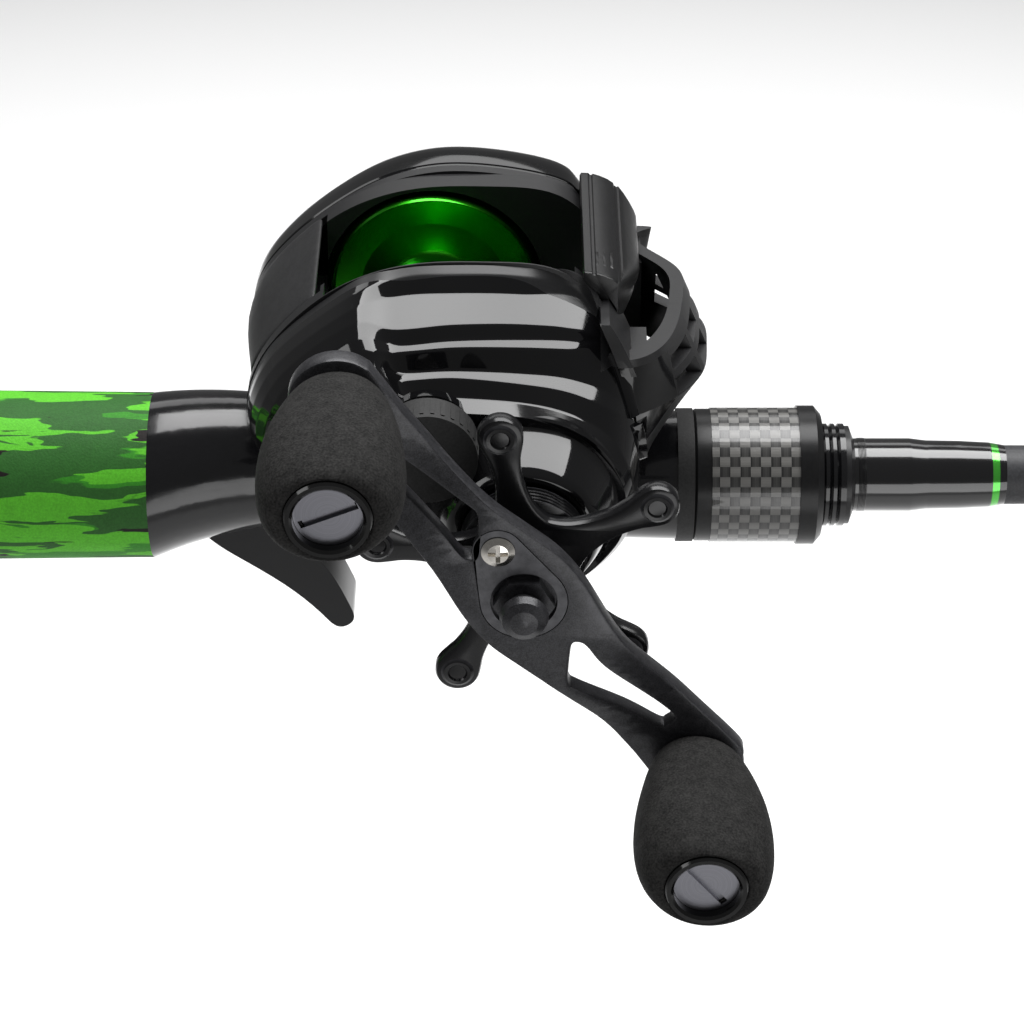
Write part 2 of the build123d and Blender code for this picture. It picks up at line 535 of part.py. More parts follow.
def gear_cover(parts):
    face = -COVER_FACE_Y
    shoulder = -24.0
    body = plate_xz(outline_face(), shoulder, -PLATE_OUT)
    body += bar_y(MAIN_X, MAIN_Z, GEAR_LOBE_R, shoulder - 1.0, -PLATE_OUT)
    taper = loft([
        Plane.XZ.offset(-shoulder) * outline_face(),
        Plane.XZ.offset(-face) * outline_face(0.72),
    ])
    body += taper
    body -= ahead_of_joint(0, -60, 60)
    body += turned_y(MAIN_X, MAIN_Z, [
        (0, shoulder - 1.0), (GEAR_LOBE_R - 1.3, shoulder - 1.0), (BOSS_LIP_R, face + 1.5), (BOSS_LIP_R, face), (0, face)])
    body += turned_y(MAIN_X, MAIN_Z, [(0, face), (BOSS_BASE_R, face), (BOSS_END_R, -BOSS_END_Y), (0, -BOSS_END_Y)])
    body -= bar_y(0, SPOOL_Z, CAST_CAP_R + GAP, -60, -CAST_CAP_START_Y + GAP)
    body += bar_y(0, SPOOL_Z, 6.2, face + 4.0, -CAST_CAP_START_Y - 3.6)
    # rooms for the gear train, the clutch and the bearings
    body -= bar_y(MAIN_X, MAIN_Z, 18.1, -24.4, -18.3)
    body -= bar_y(MAIN_X, MAIN_Z, 12.6, -18.4, -PLATE_OUT + 0.1)
    body -= bar_y(WORM_X, WORM_Z, 5.6, -18.0, -PLATE_OUT + 0.1)
    body -= bar_y(0, SPOOL_Z, 4.6, -33.0, -PLATE_OUT + 0.1)
    body -= bar_y(MAIN_X, MAIN_Z, 4.6, -BOSS_END_Y - 1, -24.0)
    body -= bar_y(MAIN_X, MAIN_Z, ROLLER_R, -BOSS_END_Y - 1, ROLLER_START_Y)
    body -= bar_y(0, SPOOL_Z, 1.6, -50, -30)
    body -= bar_y(0, SPOOL_Z, BEARING_R, -50, -36.9)
    yoke_room = Pos(0, 0, SPOOL_Z) * Rot(0, -YOKE_ANGLE, 0) * block(-11.5, 11.5, -31.6, -24.0, -4.6, 4.6)
    body -= yoke_room
    body -= plate_xz(outline_face(0.94), -18.3, -PLATE_OUT + 0.1) & block(-30, 0, -40, 0, 20.4, 34.4)
    for x, z in SCREW_PLACES:
        body -= bar_y(x, z, SCREW_R, -17.8, -PLATE_OUT + 1)
    parts["gear_cover"] = body.solids().sort_by(SortBy.VOLUME)[-1]

    screws = []
    for x, z in SCREW_PLACES:
        screw = bar_y(x, z, SCREW_R, -17.6, -PLATE_IN - 0.6) + bar_y(x, z, SCREW_HEAD_R, -PLATE_RECESS, -PLATE_IN - 0.3)
        screw -= block(x - 0.25, x + 0.25, -PLATE_IN - 1.0, -PLATE_IN, z - 1.1, z + 1.1)
        screw -= block(x - 1.1, x + 1.1, -PLATE_IN - 1.0, -PLATE_IN, z - 0.25, z + 0.25)
        screws.append(screw)
    parts["cover_screws"] = Compound(children=screws)


ROLLER_R = 7.6
ROLLER_START_Y = -33.0
YOKE_ANGLE = math.degrees(math.atan2(MAIN_X, SPOOL_Z - MAIN_Z))


def palm_cover(parts):
    levels = ((PLATE_OUT, 1.0), (24.5, 0.995), (27.4, 0.93), (28.6, 0.84), (PALM_FACE_Y, 0.72))
    body = loft([Plane.XZ.offset(-y) * outline_face(scale, PALM_OUTLINE) for y, scale in levels], ruled=True)
    body -= ahead_of_joint(0, -60, 60)
    body -= bar_y(0, SPOOL_Z, 14.6, PLATE_OUT - 0.1, 20.0)
    body -= bar_y(0, SPOOL_Z, DIAL_R + GAP, 25.0, 40)
    body -= bar_y(0, SPOOL_Z, 2.6, 10, 40)
    body -= bar_y(0, SPOOL_Z, BEARING_R, PLATE_OUT - 0.1, 20.0 + 0.1)
    body += tube_y(0, SPOOL_Z, 6.2, BEARING_R, PLATE_OUT + 0.3, 20.2)
    parts["palm_cover"] = body.solids().sort_by(SortBy.VOLUME)[-1]


DIAL_R = 10.4
HOOD_COVER_START_Y = -15.0
HOOD_COVER_END_Y = 19.5


def front_hood(parts):
    top = [
        (24.2, 47.6), (28.6, 46.2), (31.6, 43.4), (33.9, 39.4), (32.2, 37.4), (30.4, 40.2), (27.6, 42.4),
        (24.2, 43.6),
    ]
    roof = plate_xz(make_face(Polyline(*top, close=True)), HOOD_COVER_START_Y, HOOD_COVER_END_Y)
    corner = make_face(Polyline((29.4, HOOD_COVER_START_Y - 1), (34.4, 3.0), (40, 3.0), (40, HOOD_COVER_START_Y - 1),
                                close=True))
    roof -= parts["reel_frame"] + parts["palm_cover"] + extrude(corner, amount=60)
    parts["front_hood"] = roof.solids().sort_by(SortBy.VOLUME)[-1]


# ---------------------------------------------------------------- spool, brake, clutch
def spool_pieces(parts):
    half = SPOOL_HALF
    flange_y = half + SPOOL_FLANGE
    body = turned_y(0, SPOOL_Z, [
        (SPOOL_SHAFT_R, -flange_y), (4.4, -flange_y), (5.0, -half - 0.2), (SPOOL_GEAR_R - 0.8, -half - 0.6),
        (SPOOL_GEAR_R - 0.8, -flange_y), (SPOOL_GEAR_R, -flange_y), (SPOOL_GEAR_R, -half), (SPOOL_GEAR_R - 3.0, -half),
        (SPOOL_ARBOR_R + 1.6, -half + 0.5), (SPOOL_ARBOR_R, -half + 2.2),
        (SPOOL_ARBOR_R, half - 2.2), (SPOOL_ARBOR_R + 1.6, half - 0.5), (SPOOL_R - 3.0, half), (SPOOL_R, half),
        (SPOOL_R, flange_y), (SPOOL_R - 0.8, flange_y), (SPOOL_R - 0.8, half + 0.6), (13.2, half + 0.2),
        (SPOOL_ARBOR_R - SPOOL_WALL + 0.8, half - 1.6), (SPOOL_ARBOR_R - SPOOL_WALL, half - 3.0),
        (SPOOL_ARBOR_R - SPOOL_WALL, 4.0), (3.0, 4.0), (3.0, flange_y - 2.0), (SPOOL_SHAFT_R, flange_y - 2.0),
    ])
    for n in range(6):
        hole = Pos(0, 0, SPOOL_Z) * Rot(0, 60 * n, 0) * Pos(0, 6.6, 0) * Cylinder(ARBOR_HOLE_R, 20, align=LOW)
        body -= hole & tube_y(0, SPOOL_Z, 9, 4.0, 3, 9)
    parts["spool"] = body
    shaft = bar_y(0, SPOOL_Z, SPOOL_SHAFT_R, -40.9, 16.8)
    drive_pin = Pos(0, -13.6, SPOOL_Z) * Rot(0, 90, 0) * Cylinder(0.5, 5.0)
    parts["spool_shaft"] = shaft + drive_pin
    bearings = [
        tube_y(0, SPOOL_Z, BEARING_R, SPOOL_SHAFT_R + FIT, 16.0, 19.4),
        tube_y(0, SPOOL_Z, BEARING_R, SPOOL_SHAFT_R + FIT, -39.6, -36.9),
        tube_y(0, SPOOL_Z, BEARING_R, BEARING_BORE_R, -PLATE_OUT, -PLATE_RECESS),
        tube_y(WORM_X, WORM_Z, 3.0, 1.4 + FIT, -PLATE_OUT, -PLATE_IN),
        tube_y(WORM_X, WORM_Z, 3.0, 1.4 + FIT, PLATE_IN, PLATE_OUT),
    ]
    parts["shaft_bearings"] = Compound(children=bearings)

    carrier = tube_y(0, SPOOL_Z, 13.6, 6.6, 17.4, 18.6)
    magnets = []
    for n in range(6):
        angle = math.radians(60 * n)
        x, z = 10.2 * math.cos(angle), SPOOL_Z + 10.2 * math.sin(angle)
        magnets.append(bar_y(x, z, 2.2, 15.9, 17.4))
    parts["magnet_carrier"] = carrier
    parts["brake_magnets"] = Compound(children=magnets)
    dial = bar_y(0, SPOOL_Z, DIAL_R, 25.3, PALM_FACE_Y + 0.4)
    for n in range(24):
        dial -= Pos(0, 0, SPOOL_Z) * Rot(0, 15 * n, 0) * block(
            DIAL_R - 0.5, DIAL_R + 1, PALM_FACE_Y - 1.4, PALM_FACE_Y + 1, -0.55, 0.55)
    dial += block(-7.8, 7.8, PALM_FACE_Y + 0.3, PALM_FACE_Y + 2.0, SPOOL_Z - 1.5, SPOOL_Z + 1.5)
    parts["brake_dial"] = dial + bar_y(0, SPOOL_Z, 2.5, 22.0, 25.4)


def clutch_pieces(parts):
    module, main_phase, pinion_phase = meshing(MAIN_X, MAIN_Z, 0, SPOOL_Z, MAIN_TEETH, PINION_TEETH)
    teeth = plate_xz(Pos(0, SPOOL_Z) * gear_face(PINION_TEETH, module, pinion_phase), -25.6, -16.8)
    body = bar_y(0, SPOOL_Z, 3.1, -16.8, -12.9) + teeth
    body += bar_y(0, SPOOL_Z, 1.95, -27.4, -25.6) + bar_y(0, SPOOL_Z, 3.0, -29.0, -27.4)
    body -= bar_y(0, SPOOL_Z, SPOOL_SHAFT_R + FIT, -40, -10)
    body -= block(-4, 4, -14.4, -12.0, SPOOL_Z - 0.6, SPOOL_Z + 0.6)
    parts["pinion"] = body

    yoke = Pos(0, 0, 0) * block(-9.6, 9.6, -27.3, -25.8, -3.4, 3.4)
    yoke -= bar_y(0, 0, 2.1, -30, -20) + block(-2.1, 2.1, -30, -20, -6, 0)
    for way in (-1, 1):
        yoke -= bar_y(way * 7.5, 0, 1.05, -30, -20)
    place = Pos(0, 0, SPOOL_Z) * Rot(0, -YOKE_ANGLE, 0)
    parts["yoke"] = place * yoke
    posts, springs = [], []
    for way in (-1, 1):
        posts.append(place * bar_y(way * 7.5, 0, 1.0, -31.6, -24.2))
        helix = Helix(pitch=0.9, height=3.2, radius=1.65)
        wire = sweep(Plane(helix @ 0, z_dir=helix % 0) * Circle(0.2), path=helix)
        springs.append(place * Pos(way * 7.5, -31.1, 0) * Rot(-90, 0, 0) * wire)
    parts["yoke_posts"] = Compound(children=posts)
    parts["yoke_springs"] = Compound(children=springs)

    bar_face = make_face(Spline(
        (-18.6, 41.6), (-22.6, 37.6), (-27.0, 31.6), (-28.6, 27.4), (-27.0, 25.0), (-23.2, 24.9), (-20.6, 28.0),
        (-19.8, 33.0), (-18.4, 38.4), periodic=True))
    thumb = plate_xz(bar_face, THUMB_START_Y, THUMB_END_Y)
    thumb -= bar_y(0, SPOOL_Z, SPOOL_R + 1.2, -20, 20)
    x_a, x_b, z_a, z_b = THUMB_SLOT
    tab = block(x_a + 0.4, x_b - 0.4, -PLATE_OUT - 0.5, THUMB_START_Y + 0.1, z_a + 0.4, z_b - 0.4)
    parts["thumb_bar"] = thumb + tab
    slide = block(x_a + 0.8, x_b - 0.6, -17.4, -PLATE_OUT - 0.5, z_a + 1.0, z_b - 0.8)
    slide += block(x_b - 1.0, -6.4, -17.4, -PLATE_OUT - 0.5, z_a + 2.4, z_b - 1.2) - bar_y(0, SPOOL_Z, 6.8, -20, 0)
    parts["clutch_slide"] = slide

    start = -CAST_CAP_START_Y
    end = start - CAST_CAP_LENGTH
    cap = bar_y(0, SPOOL_Z, CAST_CAP_R, end, start)
    cap -= bar_y(0, SPOOL_Z, 6.2 + FIT, end + 1.8, start)
    for n in range(30):
        cap -= Pos(0, 0, SPOOL_Z) * Rot(0, 12 * n, 0) * block(
            CAST_CAP_R - 0.35, CAST_CAP_R + 1, end + 0.8, start - 0.6, -0.28, 0.28)
    parts["cast_cap"] = cap


# ---------------------------------------------------------------- gear train, drag and crank
def train_pieces(parts):
    module, main_phase, _ = meshing(MAIN_X, MAIN_Z, 0, SPOOL_Z, MAIN_TEETH, PINION_TEETH)
    gear = plate_xz(Pos(MAIN_X, MAIN_Z) * gear_face(MAIN_TEETH, module, main_phase), -23.1, -18.7)
    gear -= bar_y(MAIN_X, MAIN_Z, SHAFT_R + FIT, -24, -18)
    gear -= bar_y(MAIN_X, MAIN_Z, 12.2, -24, -20.3)
    parts["main_gear"] = gear
    parts["drag_washers"] = Compound(children=[
        tube_y(MAIN_X, MAIN_Z, radius, SHAFT_R + FIT, y - 0.8, y)
        for y, radius in ((-20.35, 12.0), (-21.2, 11.7), (-22.05, 12.0), (-22.9, 11.7))])
    ratchet_face = Pos(MAIN_X, MAIN_Z) * gear_face(12, 1.2, 0.0)
    parts["ratchet"] = plate_xz(ratchet_face, -18.6, -17.5) - bar_y(MAIN_X, MAIN_Z, SHAFT_R + FIT, -19, -17)

    module, drive_phase, worm_phase = meshing(MAIN_X, MAIN_Z, WORM_X, WORM_Z, LINE_DRIVE_TEETH, LINE_WORM_TEETH)
    drive = plate_xz(Pos(MAIN_X, MAIN_Z) * gear_face(LINE_DRIVE_TEETH, module, drive_phase), -17.2, -15.7)
    parts["levelwind_gear"] = drive - bar_y(MAIN_X, MAIN_Z, SHAFT_R + FIT, -18, -15)
    driven = plate_xz(Pos(WORM_X, WORM_Z) * gear_face(LINE_WORM_TEETH, module, worm_phase), -17.2, -15.7)
    parts["worm_gear"] = driven - bar_y(WORM_X, WORM_Z, 1.4, -18, -15)

    nut_base = -HANDLE_Y - HANDLE_THICK + RETAINER_THICK
    shaft = bar_y(MAIN_X, MAIN_Z, SHAFT_R, nut_base, -PLATE_RECESS - 0.4) + bar_y(MAIN_X, MAIN_Z, 1.8, nut_base - 2.0, nut_base)
    parts["drive_shaft"] = shaft
    parts["clutch_sleeve"] = tube_y(MAIN_X, MAIN_Z, 4.0, SHAFT_R + FIT, -44.6, -24.1)
    rollers = tube_y(MAIN_X, MAIN_Z, ROLLER_R, 5.4, -42.4, ROLLER_START_Y)
    for n in range(8):
        turn = math.radians(45 * n)
        rollers += bar_y(MAIN_X + 5.0 * math.cos(turn), MAIN_Z + 5.0 * math.sin(turn), 0.85, -41.0, -34.4)
    parts["roller_clutch"] = rollers - bar_y(MAIN_X, MAIN_Z, 4.0 + FIT, -50, -30)
    parts["spring_washers"] = Compound(children=[
        turned_y(MAIN_X, MAIN_Z, [(SHAFT_R + FIT, y), (5.4, y - 0.35), (5.4, y - 0.75), (SHAFT_R + FIT, y - 0.4)])
        for y in (-44.75, -45.6)])
    parts["handle_spacer"] = tube_y(MAIN_X, MAIN_Z, 4.4, SHAFT_R, -HANDLE_Y, -STAR_Y - STAR_THICK - 0.3)


def star_drag(parts):
    y_in, y_out = -STAR_Y, -STAR_Y - STAR_THICK
    star = bar_y(MAIN_X, MAIN_Z, STAR_HUB_R, y_out, y_in)
    for n in range(STAR_ARMS):
        turn = math.radians(STAR_FIRST_ANGLE + 360 * n / STAR_ARMS)
        ux, uz = math.cos(turn), math.sin(turn)
        base, waist, reach = STAR_HUB_R - 2.0, 14.5, STAR_TIP_CIRCLE_R
        edge = []
        for side in (1, -1):
            run = [(base, 4.6), (9.4, 2.9), (waist, 2.1), (reach - 2.0, STAR_TIP_R - 0.6)]
            for along, across in (run if side > 0 else reversed(run)):
                edge.append((MAIN_X + along * ux - side * across * uz, MAIN_Z + along * uz + side * across * ux))
        star += plate_xz(make_face(Polyline(*edge, close=True)), y_out, y_in)
        tip_x, tip_z = MAIN_X + reach * ux, MAIN_Z + reach * uz
        star += bar_y(tip_x, tip_z, STAR_TIP_R, y_out - 0.4, y_in)
        star -= bar_y(tip_x, tip_z, 1.2, y_out - 1, y_out + 1.0)
    skirt = bar_y(MAIN_X, MAIN_Z, STAR_SKIRT_R, y_in, -BOSS_END_Y - GAP)
    for n in range(4):
        groove_y = -BOSS_END_Y - GAP - 0.7 - 0.9 * n
        skirt -= tube_y(MAIN_X, MAIN_Z, STAR_SKIRT_R + 1, STAR_SKIRT_R - 0.35, groove_y - 0.3, groove_y)
    star += skirt
    star -= bar_y(MAIN_X, MAIN_Z, 6.0, -47.0, -40)
    star -= bar_y(MAIN_X, MAIN_Z, SHAFT_R + FIT, -60, -40)
    parts["star_drag"] = star


def crank(parts):
    half, end = HANDLE_HALF, HANDLE_END_R
    mid, arm = HANDLE_MID_HALF_WIDTH, HANDLE_ARM_HALF_WIDTH
    upper = [(-half, end - 0.6), (-32, arm), (-20, arm + 0.9), (-9, mid - 0.9), (0, mid), (9, mid - 0.9), (20, arm + 0.9),
             (32, arm), (half, end - 0.6)]
    lower = [(-u, -v) for u, v in upper]
    points = [handle_point(u, v) for u, v in upper + lower]
    face = make_face(Polyline(*points, close=True))
    for way in (-1, 1):
        x, z = handle_point(way * half, 0)
        face += Pos(x, z) * Circle(end)
    arm_solid = plate_xz(face, -HANDLE_Y - HANDLE_THICK - 1, -HANDLE_Y + HANDLE_BOW + 1)
    near, far = 14.0, 31.0
    y0, t = HANDLE_Y, HANDLE_THICK
    bow = [
        (-60, y0 - HANDLE_BOW), (-far, y0 - HANDLE_BOW), (-near, y0), (near, y0), (far, y0 - HANDLE_BOW),
        (60, y0 - HANDLE_BOW), (60, y0 - HANDLE_BOW + t - 0.4), (far, y0 - HANDLE_BOW + t - 0.4), (near, y0 + t),
        (-near, y0 + t), (-far, y0 - HANDLE_BOW + t - 0.4), (-60, y0 - HANDLE_BOW + t - 0.4),
    ]
    sheet = extrude(make_face(Polyline(*[(u, -y) for u, y in bow], close=True)), amount=20, both=True)
    arm_solid &= Pos(MAIN_X, 0, MAIN_Z) * Rot(0, -HANDLE_ANGLE, 0) * sheet
    slot = [(11.2, 0.6), (12.6, 2.0), (33.4, 1.7), (33.8, -0.6), (32.8, -1.4), (17.6, -4.3), (15.6, -3.9)]
    for way in (-1, 1):
        hole = make_face(Polyline(*[handle_point(way * u, way * v) for u, v in slot], close=True))
        arm_solid -= plate_xz(hole, -80, -40)
    outer_y = -HANDLE_Y - HANDLE_THICK
    floor_y = outer_y + RETAINER_THICK
    screw_x, screw_z = MAIN_X - 3.9, MAIN_Z + 9.1
    drop = retainer_face(screw_x, screw_z, 0.0)
    arm_solid -= plate_xz(retainer_face(screw_x, screw_z, 0.12), outer_y - 1, floor_y)
    arm_solid -= bar_y(MAIN_X, MAIN_Z, SHAFT_R, -80, -40)
    arm_solid -= bar_y(screw_x, screw_z, 1.3, -80, -40)
    for way in (-1, 1):
        x, z = handle_point(way * half, 0)
        arm_solid -= bar_y(x, z, SPINDLE_R, -80, -40)
    parts["handle_arm"] = arm_solid.solids().sort_by(SortBy.VOLUME)[-1]

    nut = plate_xz(Pos(MAIN_X, MAIN_Z) * RegularPolygon(4.7, 6), floor_y - 2.4, floor_y)
    nut += turned_y(MAIN_X, MAIN_Z, [
        (0, floor_y - 2.0), (2.5, floor_y - 2.0), (2.5, floor_y - 4.0), (3.5, floor_y - 4.4), (3.75, floor_y - 5.0),
        (3.3, floor_y - 6.2), (2.1, floor_y - 6.9), (0, floor_y - 7.2)])
    parts["handle_nut"] = nut - bar_y(MAIN_X, MAIN_Z, 1.8, floor_y - 2.05, floor_y + 1)
    retainer = plate_xz(drop, outer_y, floor_y) - bar_y(MAIN_X, MAIN_Z, NUT_HOLE_R, -80, -40)
    parts["nut_retainer"] = retainer - bar_y(screw_x, screw_z, 2.6, -80, -40)
    screw = turned_y(screw_x, screw_z, [
        (0, outer_y - 0.9), (1.6, outer_y - 0.75), (2.55, outer_y - 0.2), (2.55, floor_y + 0.4),
        (2.55, floor_y), (1.3, floor_y), (1.3, -HANDLE_Y - 0.2), (0, -HANDLE_Y - 0.2)])
    screw -= block(screw_x - 0.35, screw_x + 0.35, outer_y - 2, outer_y + 0.1, screw_z - 1.5, screw_z + 1.5)
    screw -= block(screw_x - 1.5, screw_x + 1.5, outer_y - 2, outer_y + 0.1, screw_z - 0.35, screw_z + 0.35)
    parts["retainer_screw"] = screw


def retainer_face(screw_x, screw_z, grow):
    """Teardrop inlay: a large round at the nut and a small one at the screw."""
    big, small = 6.6 + grow, 3.7 + grow
    dx, dz = screw_x - MAIN_X, screw_z - MAIN_Z
    length = math.hypot(dx, dz)
    lean = math.acos((big - small) / length)
    heading = math.atan2(dz, dx)
    corners = []
    for side in (1, -1):
        ux, uz = math.cos(heading + side * lean), math.sin(heading + side * lean)
        pair = [(MAIN_X + big * ux, MAIN_Z + big * uz), (screw_x + small * ux, screw_z + small * uz)]
        corners += pair if side > 0 else pair[::-1]
    web = make_face(Polyline(*corners, close=True))
    return web + Pos(MAIN_X, MAIN_Z) * Circle(big) + Pos(screw_x, screw_z) * Circle(small)


def knobs(parts):
    seat_y = -HANDLE_Y + HANDLE_BOW - HANDLE_THICK + 0.4
    spindles = []
    for n, way in ((1, -1), (2, 1)):
        x, z = handle_point(way * HANDLE_HALF, 0)
        start = seat_y - GAP
        end = start - KNOB_LENGTH
        spindle = bar_y(x, z, SPINDLE_R, end + 5.0, seat_y + HANDLE_THICK - 0.4)
        spindle += bar_y(x, z, SPINDLE_R + 1.2, seat_y + HANDLE_THICK - 0.4, seat_y + HANDLE_THICK + 0.6)
        spindles.append(spindle)
        body = turned_y(x, z, [
            (0, start), (5.3, start), (6.4, start - 2.0), (8.7, start - 7.0), (10.2, start - 13.0),
            (KNOB_R, start - 19.5), (KNOB_R, start - 25.0), (10.3, start - 29.0), (9.0, end), (0, end)])
        side = [(5.3, start + 0.1), (6.2, start - 3.0), (7.6, start - 9.0), (KNOB_FLAT, start - 16.0),
                (KNOB_FLAT, start - 23.0), (7.8, start - 28.0), (KNOB_CAP_R + 0.4, end - 0.1)]
        edge = side + [(-across, y) for across, y in reversed(side)]
        paddle = extrude(make_face(Polyline(*edge, close=True)), amount=1.5 * KNOB_R, both=True)
        body &= Pos(x, 0, z) * Rot(0, KNOB_TURN[n - 1], 0) * paddle
        body -= bar_y(x, z, SPINDLE_R + FIT, end, start + 1)
        body -= bar_y(x, z, KNOB_CAP_R, end - 1, end + 1.6)
        body -= bar_y(x, z, 4.0, end - 1, end + 4.6)
        parts[f"knob_{n}"] = body
        cap = turned_y(x, z, [
            (0, end + 1.2), (5.0, end + 1.2), (5.0, end - 0.2), (5.4, end - 0.6), (6.0, end - 0.6),
            (KNOB_CAP_R, end - 0.2), (KNOB_CAP_R, end + 1.6), (4.0, end + 1.6), (4.0, end + 3.4), (0, end + 3.4)])
        slot = Pos(x, 0, z) * Rot(0, CAP_SLOT_TURN[n - 1], 0) * block(-4.4, 4.4, end, end + 1.9, -0.6, 0.6)
        parts[f"knob_cap_{n}"] = cap - slot
    parts["knob_spindles"] = Compound(children=spindles)


KNOB_TURN = (84.0, 104.0)
CAP_SLOT_TURN = (-22.0, 50.0)


# ---------------------------------------------------------------- level wind
def level_wind(parts):
    end = -17.4
    shaft = bar_y(WORM_X, WORM_Z, 2.2, -PLATE_IN + 0.1, PLATE_IN - 0.1)
    shaft += bar_y(WORM_X, WORM_Z, 1.4, end, PLATE_OUT - 0.6)
    parts["worm_shaft"] = shaft
    eye_z = 36.6
    eye_x = WORM_X + 1.0
    body = bar_y(WORM_X, WORM_Z, 4.1, -2.6, 2.6)
    body += block(WORM_X - 1.6, WORM_X + 2.6, -1.9, 1.9, WORM_Z + 3.0, eye_z)
    body += bar_x(3.5, eye_x - 1.4, eye_x + 1.4, z=eye_z)
    body -= bar_x(2.6, eye_x - 2, eye_x + 2, z=eye_z)
    body -= bar_y(WORM_X, WORM_Z, 2.2 + FIT, -3, 3)
    body -= bar_y(WORM_X, WORM_Z, 1.5, -3, 3)
    body -= Pos(WORM_X, 0, WORM_Z) * Cylinder(1.35, 8, align=(Align.CENTER, Align.CENTER, Align.MAX))
    body -= bar_y(GUIDE_ROD_X, GUIDE_ROD_Z, 0.9 + FIT, -4, 4)
    parts["line_guide"] = body
    parts["line_guide_ring"] = bar_x(2.6, eye_x - 1.6, eye_x + 1.6, z=eye_z) - bar_x(1.7, eye_x - 2, eye_x + 2, z=eye_z)
    parts["pawl"] = Pos(WORM_X, 0, WORM_Z - 5.0) * Cylinder(1.35, 2.6, align=LOW)
    parts["guide_rod"] = bar_y(GUIDE_ROD_X, GUIDE_ROD_Z, 0.9, -PLATE_IN, PLATE_IN)


GUIDE_ROD_X = WORM_X
GUIDE_ROD_Z = WORM_Z + 5.0


def build():
    parts = {}
    rod_pieces(parts)
    line_guides(parts)
    seat_pieces(parts)
    reel_frame(parts)
    gear_cover(parts)
    palm_cover(parts)
    front_hood(parts)
    spool_pieces(parts)
    clutch_pieces(parts)
    train_pieces(parts)
    star_drag(parts)
    crank(parts)
    knobs(parts)
    level_wind(parts)
    return parts


os.makedirs("parts", exist_ok=True)
for name, shape in build().items():
    export_step(shape, f"parts/{name}.step")
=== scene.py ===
"""Looks of the casting rod and its low-profile reel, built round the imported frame."""

import math

import bmesh
import bpy
import numpy as np
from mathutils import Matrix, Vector
from mathutils.geometry import tessellate_polygon


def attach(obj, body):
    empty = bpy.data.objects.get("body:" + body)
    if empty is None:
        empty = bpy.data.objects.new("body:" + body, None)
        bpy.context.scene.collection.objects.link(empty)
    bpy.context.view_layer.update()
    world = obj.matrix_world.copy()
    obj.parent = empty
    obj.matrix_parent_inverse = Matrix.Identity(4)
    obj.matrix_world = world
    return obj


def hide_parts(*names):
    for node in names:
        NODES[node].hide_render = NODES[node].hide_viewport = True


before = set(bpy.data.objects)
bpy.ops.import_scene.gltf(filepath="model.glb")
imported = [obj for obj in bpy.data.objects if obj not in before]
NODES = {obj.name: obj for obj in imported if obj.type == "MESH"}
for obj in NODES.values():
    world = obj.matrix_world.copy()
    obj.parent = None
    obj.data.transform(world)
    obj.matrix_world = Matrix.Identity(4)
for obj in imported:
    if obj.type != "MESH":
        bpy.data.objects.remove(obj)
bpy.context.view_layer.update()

bl_info = {
    "name": "Casting rod and reel looks",
    "version": (1, 0, 0),
    "blender": (4, 5, 0),
    "location": "View3D > Sidebar > Casting reel",
    "description": "Builds the finished surfaces of a casting rod with a low-profile reel",
    "category": "Object",
}

# Places are in millimetres in the frame's own axes; an axis along Y is given by its X and Z.
MM = 0.001
SPOOL_AXIS = (0.0, 30.0)
MAIN_AXIS = (14.8, 16.5)
HANDLE_TURN = math.radians(-50.4)
HANDLE_HALF = 42.9
COVER_WALL = 1.2
BORE_R, BORE_FLOOR = 8.2, -34.7
RIM_BAND = 17.4
NOSE_BAND = (27.0, 34.6)
CAP_DISC_R = 4.95
STAR_TURN, STAR_ARMS = 27.0, 5
KNOB_SIDES = 72

# Sizes that the finishes work in, in metres.
GRIP_R = 0.0142
SLEEVE_R = 0.0114
TWILL_CELL = 0.0017
THREAD_PITCH = 0.00024
ACCENT_AT, ACCENT_HALF = 0.0945, 0.0006
ACCENT_GREEN = (0.12, 0.85, 0.08, 1)


# ------------------------------------------------------------------ settings
def length_property(name, description, default):
    return bpy.props.FloatProperty(name=name, description=description, default=default * MM,
                                   unit="LENGTH")


def colour_property(name, description, default):
    return bpy.props.FloatVectorProperty(
        name=name, description=description, subtype="COLOR", size=4, default=default + (1.0,))


class ROD_PG_sizes(bpy.types.PropertyGroup):
    """Sizes that shape the visible pieces."""
    flute_depth: bpy.props.FloatProperty(
        name="Flute depth", description="How deep the side cover's flutes are cut, as a share",
        default=1.0,
        min=0.0, max=1.3)
    knob_half_width: length_property("Knob half width", "Half of the paddle knob's width", 10.6)
    knob_half_depth: length_property("Knob half thickness", "Half of the paddle knob's thickness", 8.6)
    edge_round: length_property("Edge rounding", "Radius broken on plate edges", 0.45)
    cap_ribs: bpy.props.IntProperty(
        name="Cast cap ribs", description="Ribs round the cast control cap", default=30, min=6)
    wrap_turns: bpy.props.IntProperty(
        name="Thread turns", description="Turns of thread in each bright band", default=6, min=2)


class ROD_PG_colours(bpy.types.PropertyGroup):
    """Colours of the finishes."""
    spool_green: colour_property("Spool green", "Anodised green of the spool", (0.035, 0.43, 0.012))
    camo_dark: colour_property("Camouflage dark green", "Ground colour of the grip",
                               (0.03, 0.15, 0.022))
    camo_mid: colour_property("Camouflage mid green", "Middle colour of the grip", (0.045, 0.32, 0.02))
    camo_bright: colour_property("Camouflage bright green", "Brightest colour of the grip",
                                 (0.13, 0.64, 0.03))
    gloss_black: colour_property("Gloss black", "Moulded covers and frame", (0.0045, 0.0045, 0.005))
    foam_black: colour_property("Foam charcoal", "Foam of the knobs", (0.017, 0.0165, 0.016))


def sizes():
    return bpy.context.scene.rod_sizes


def colours():
    return bpy.context.scene.rod_colours


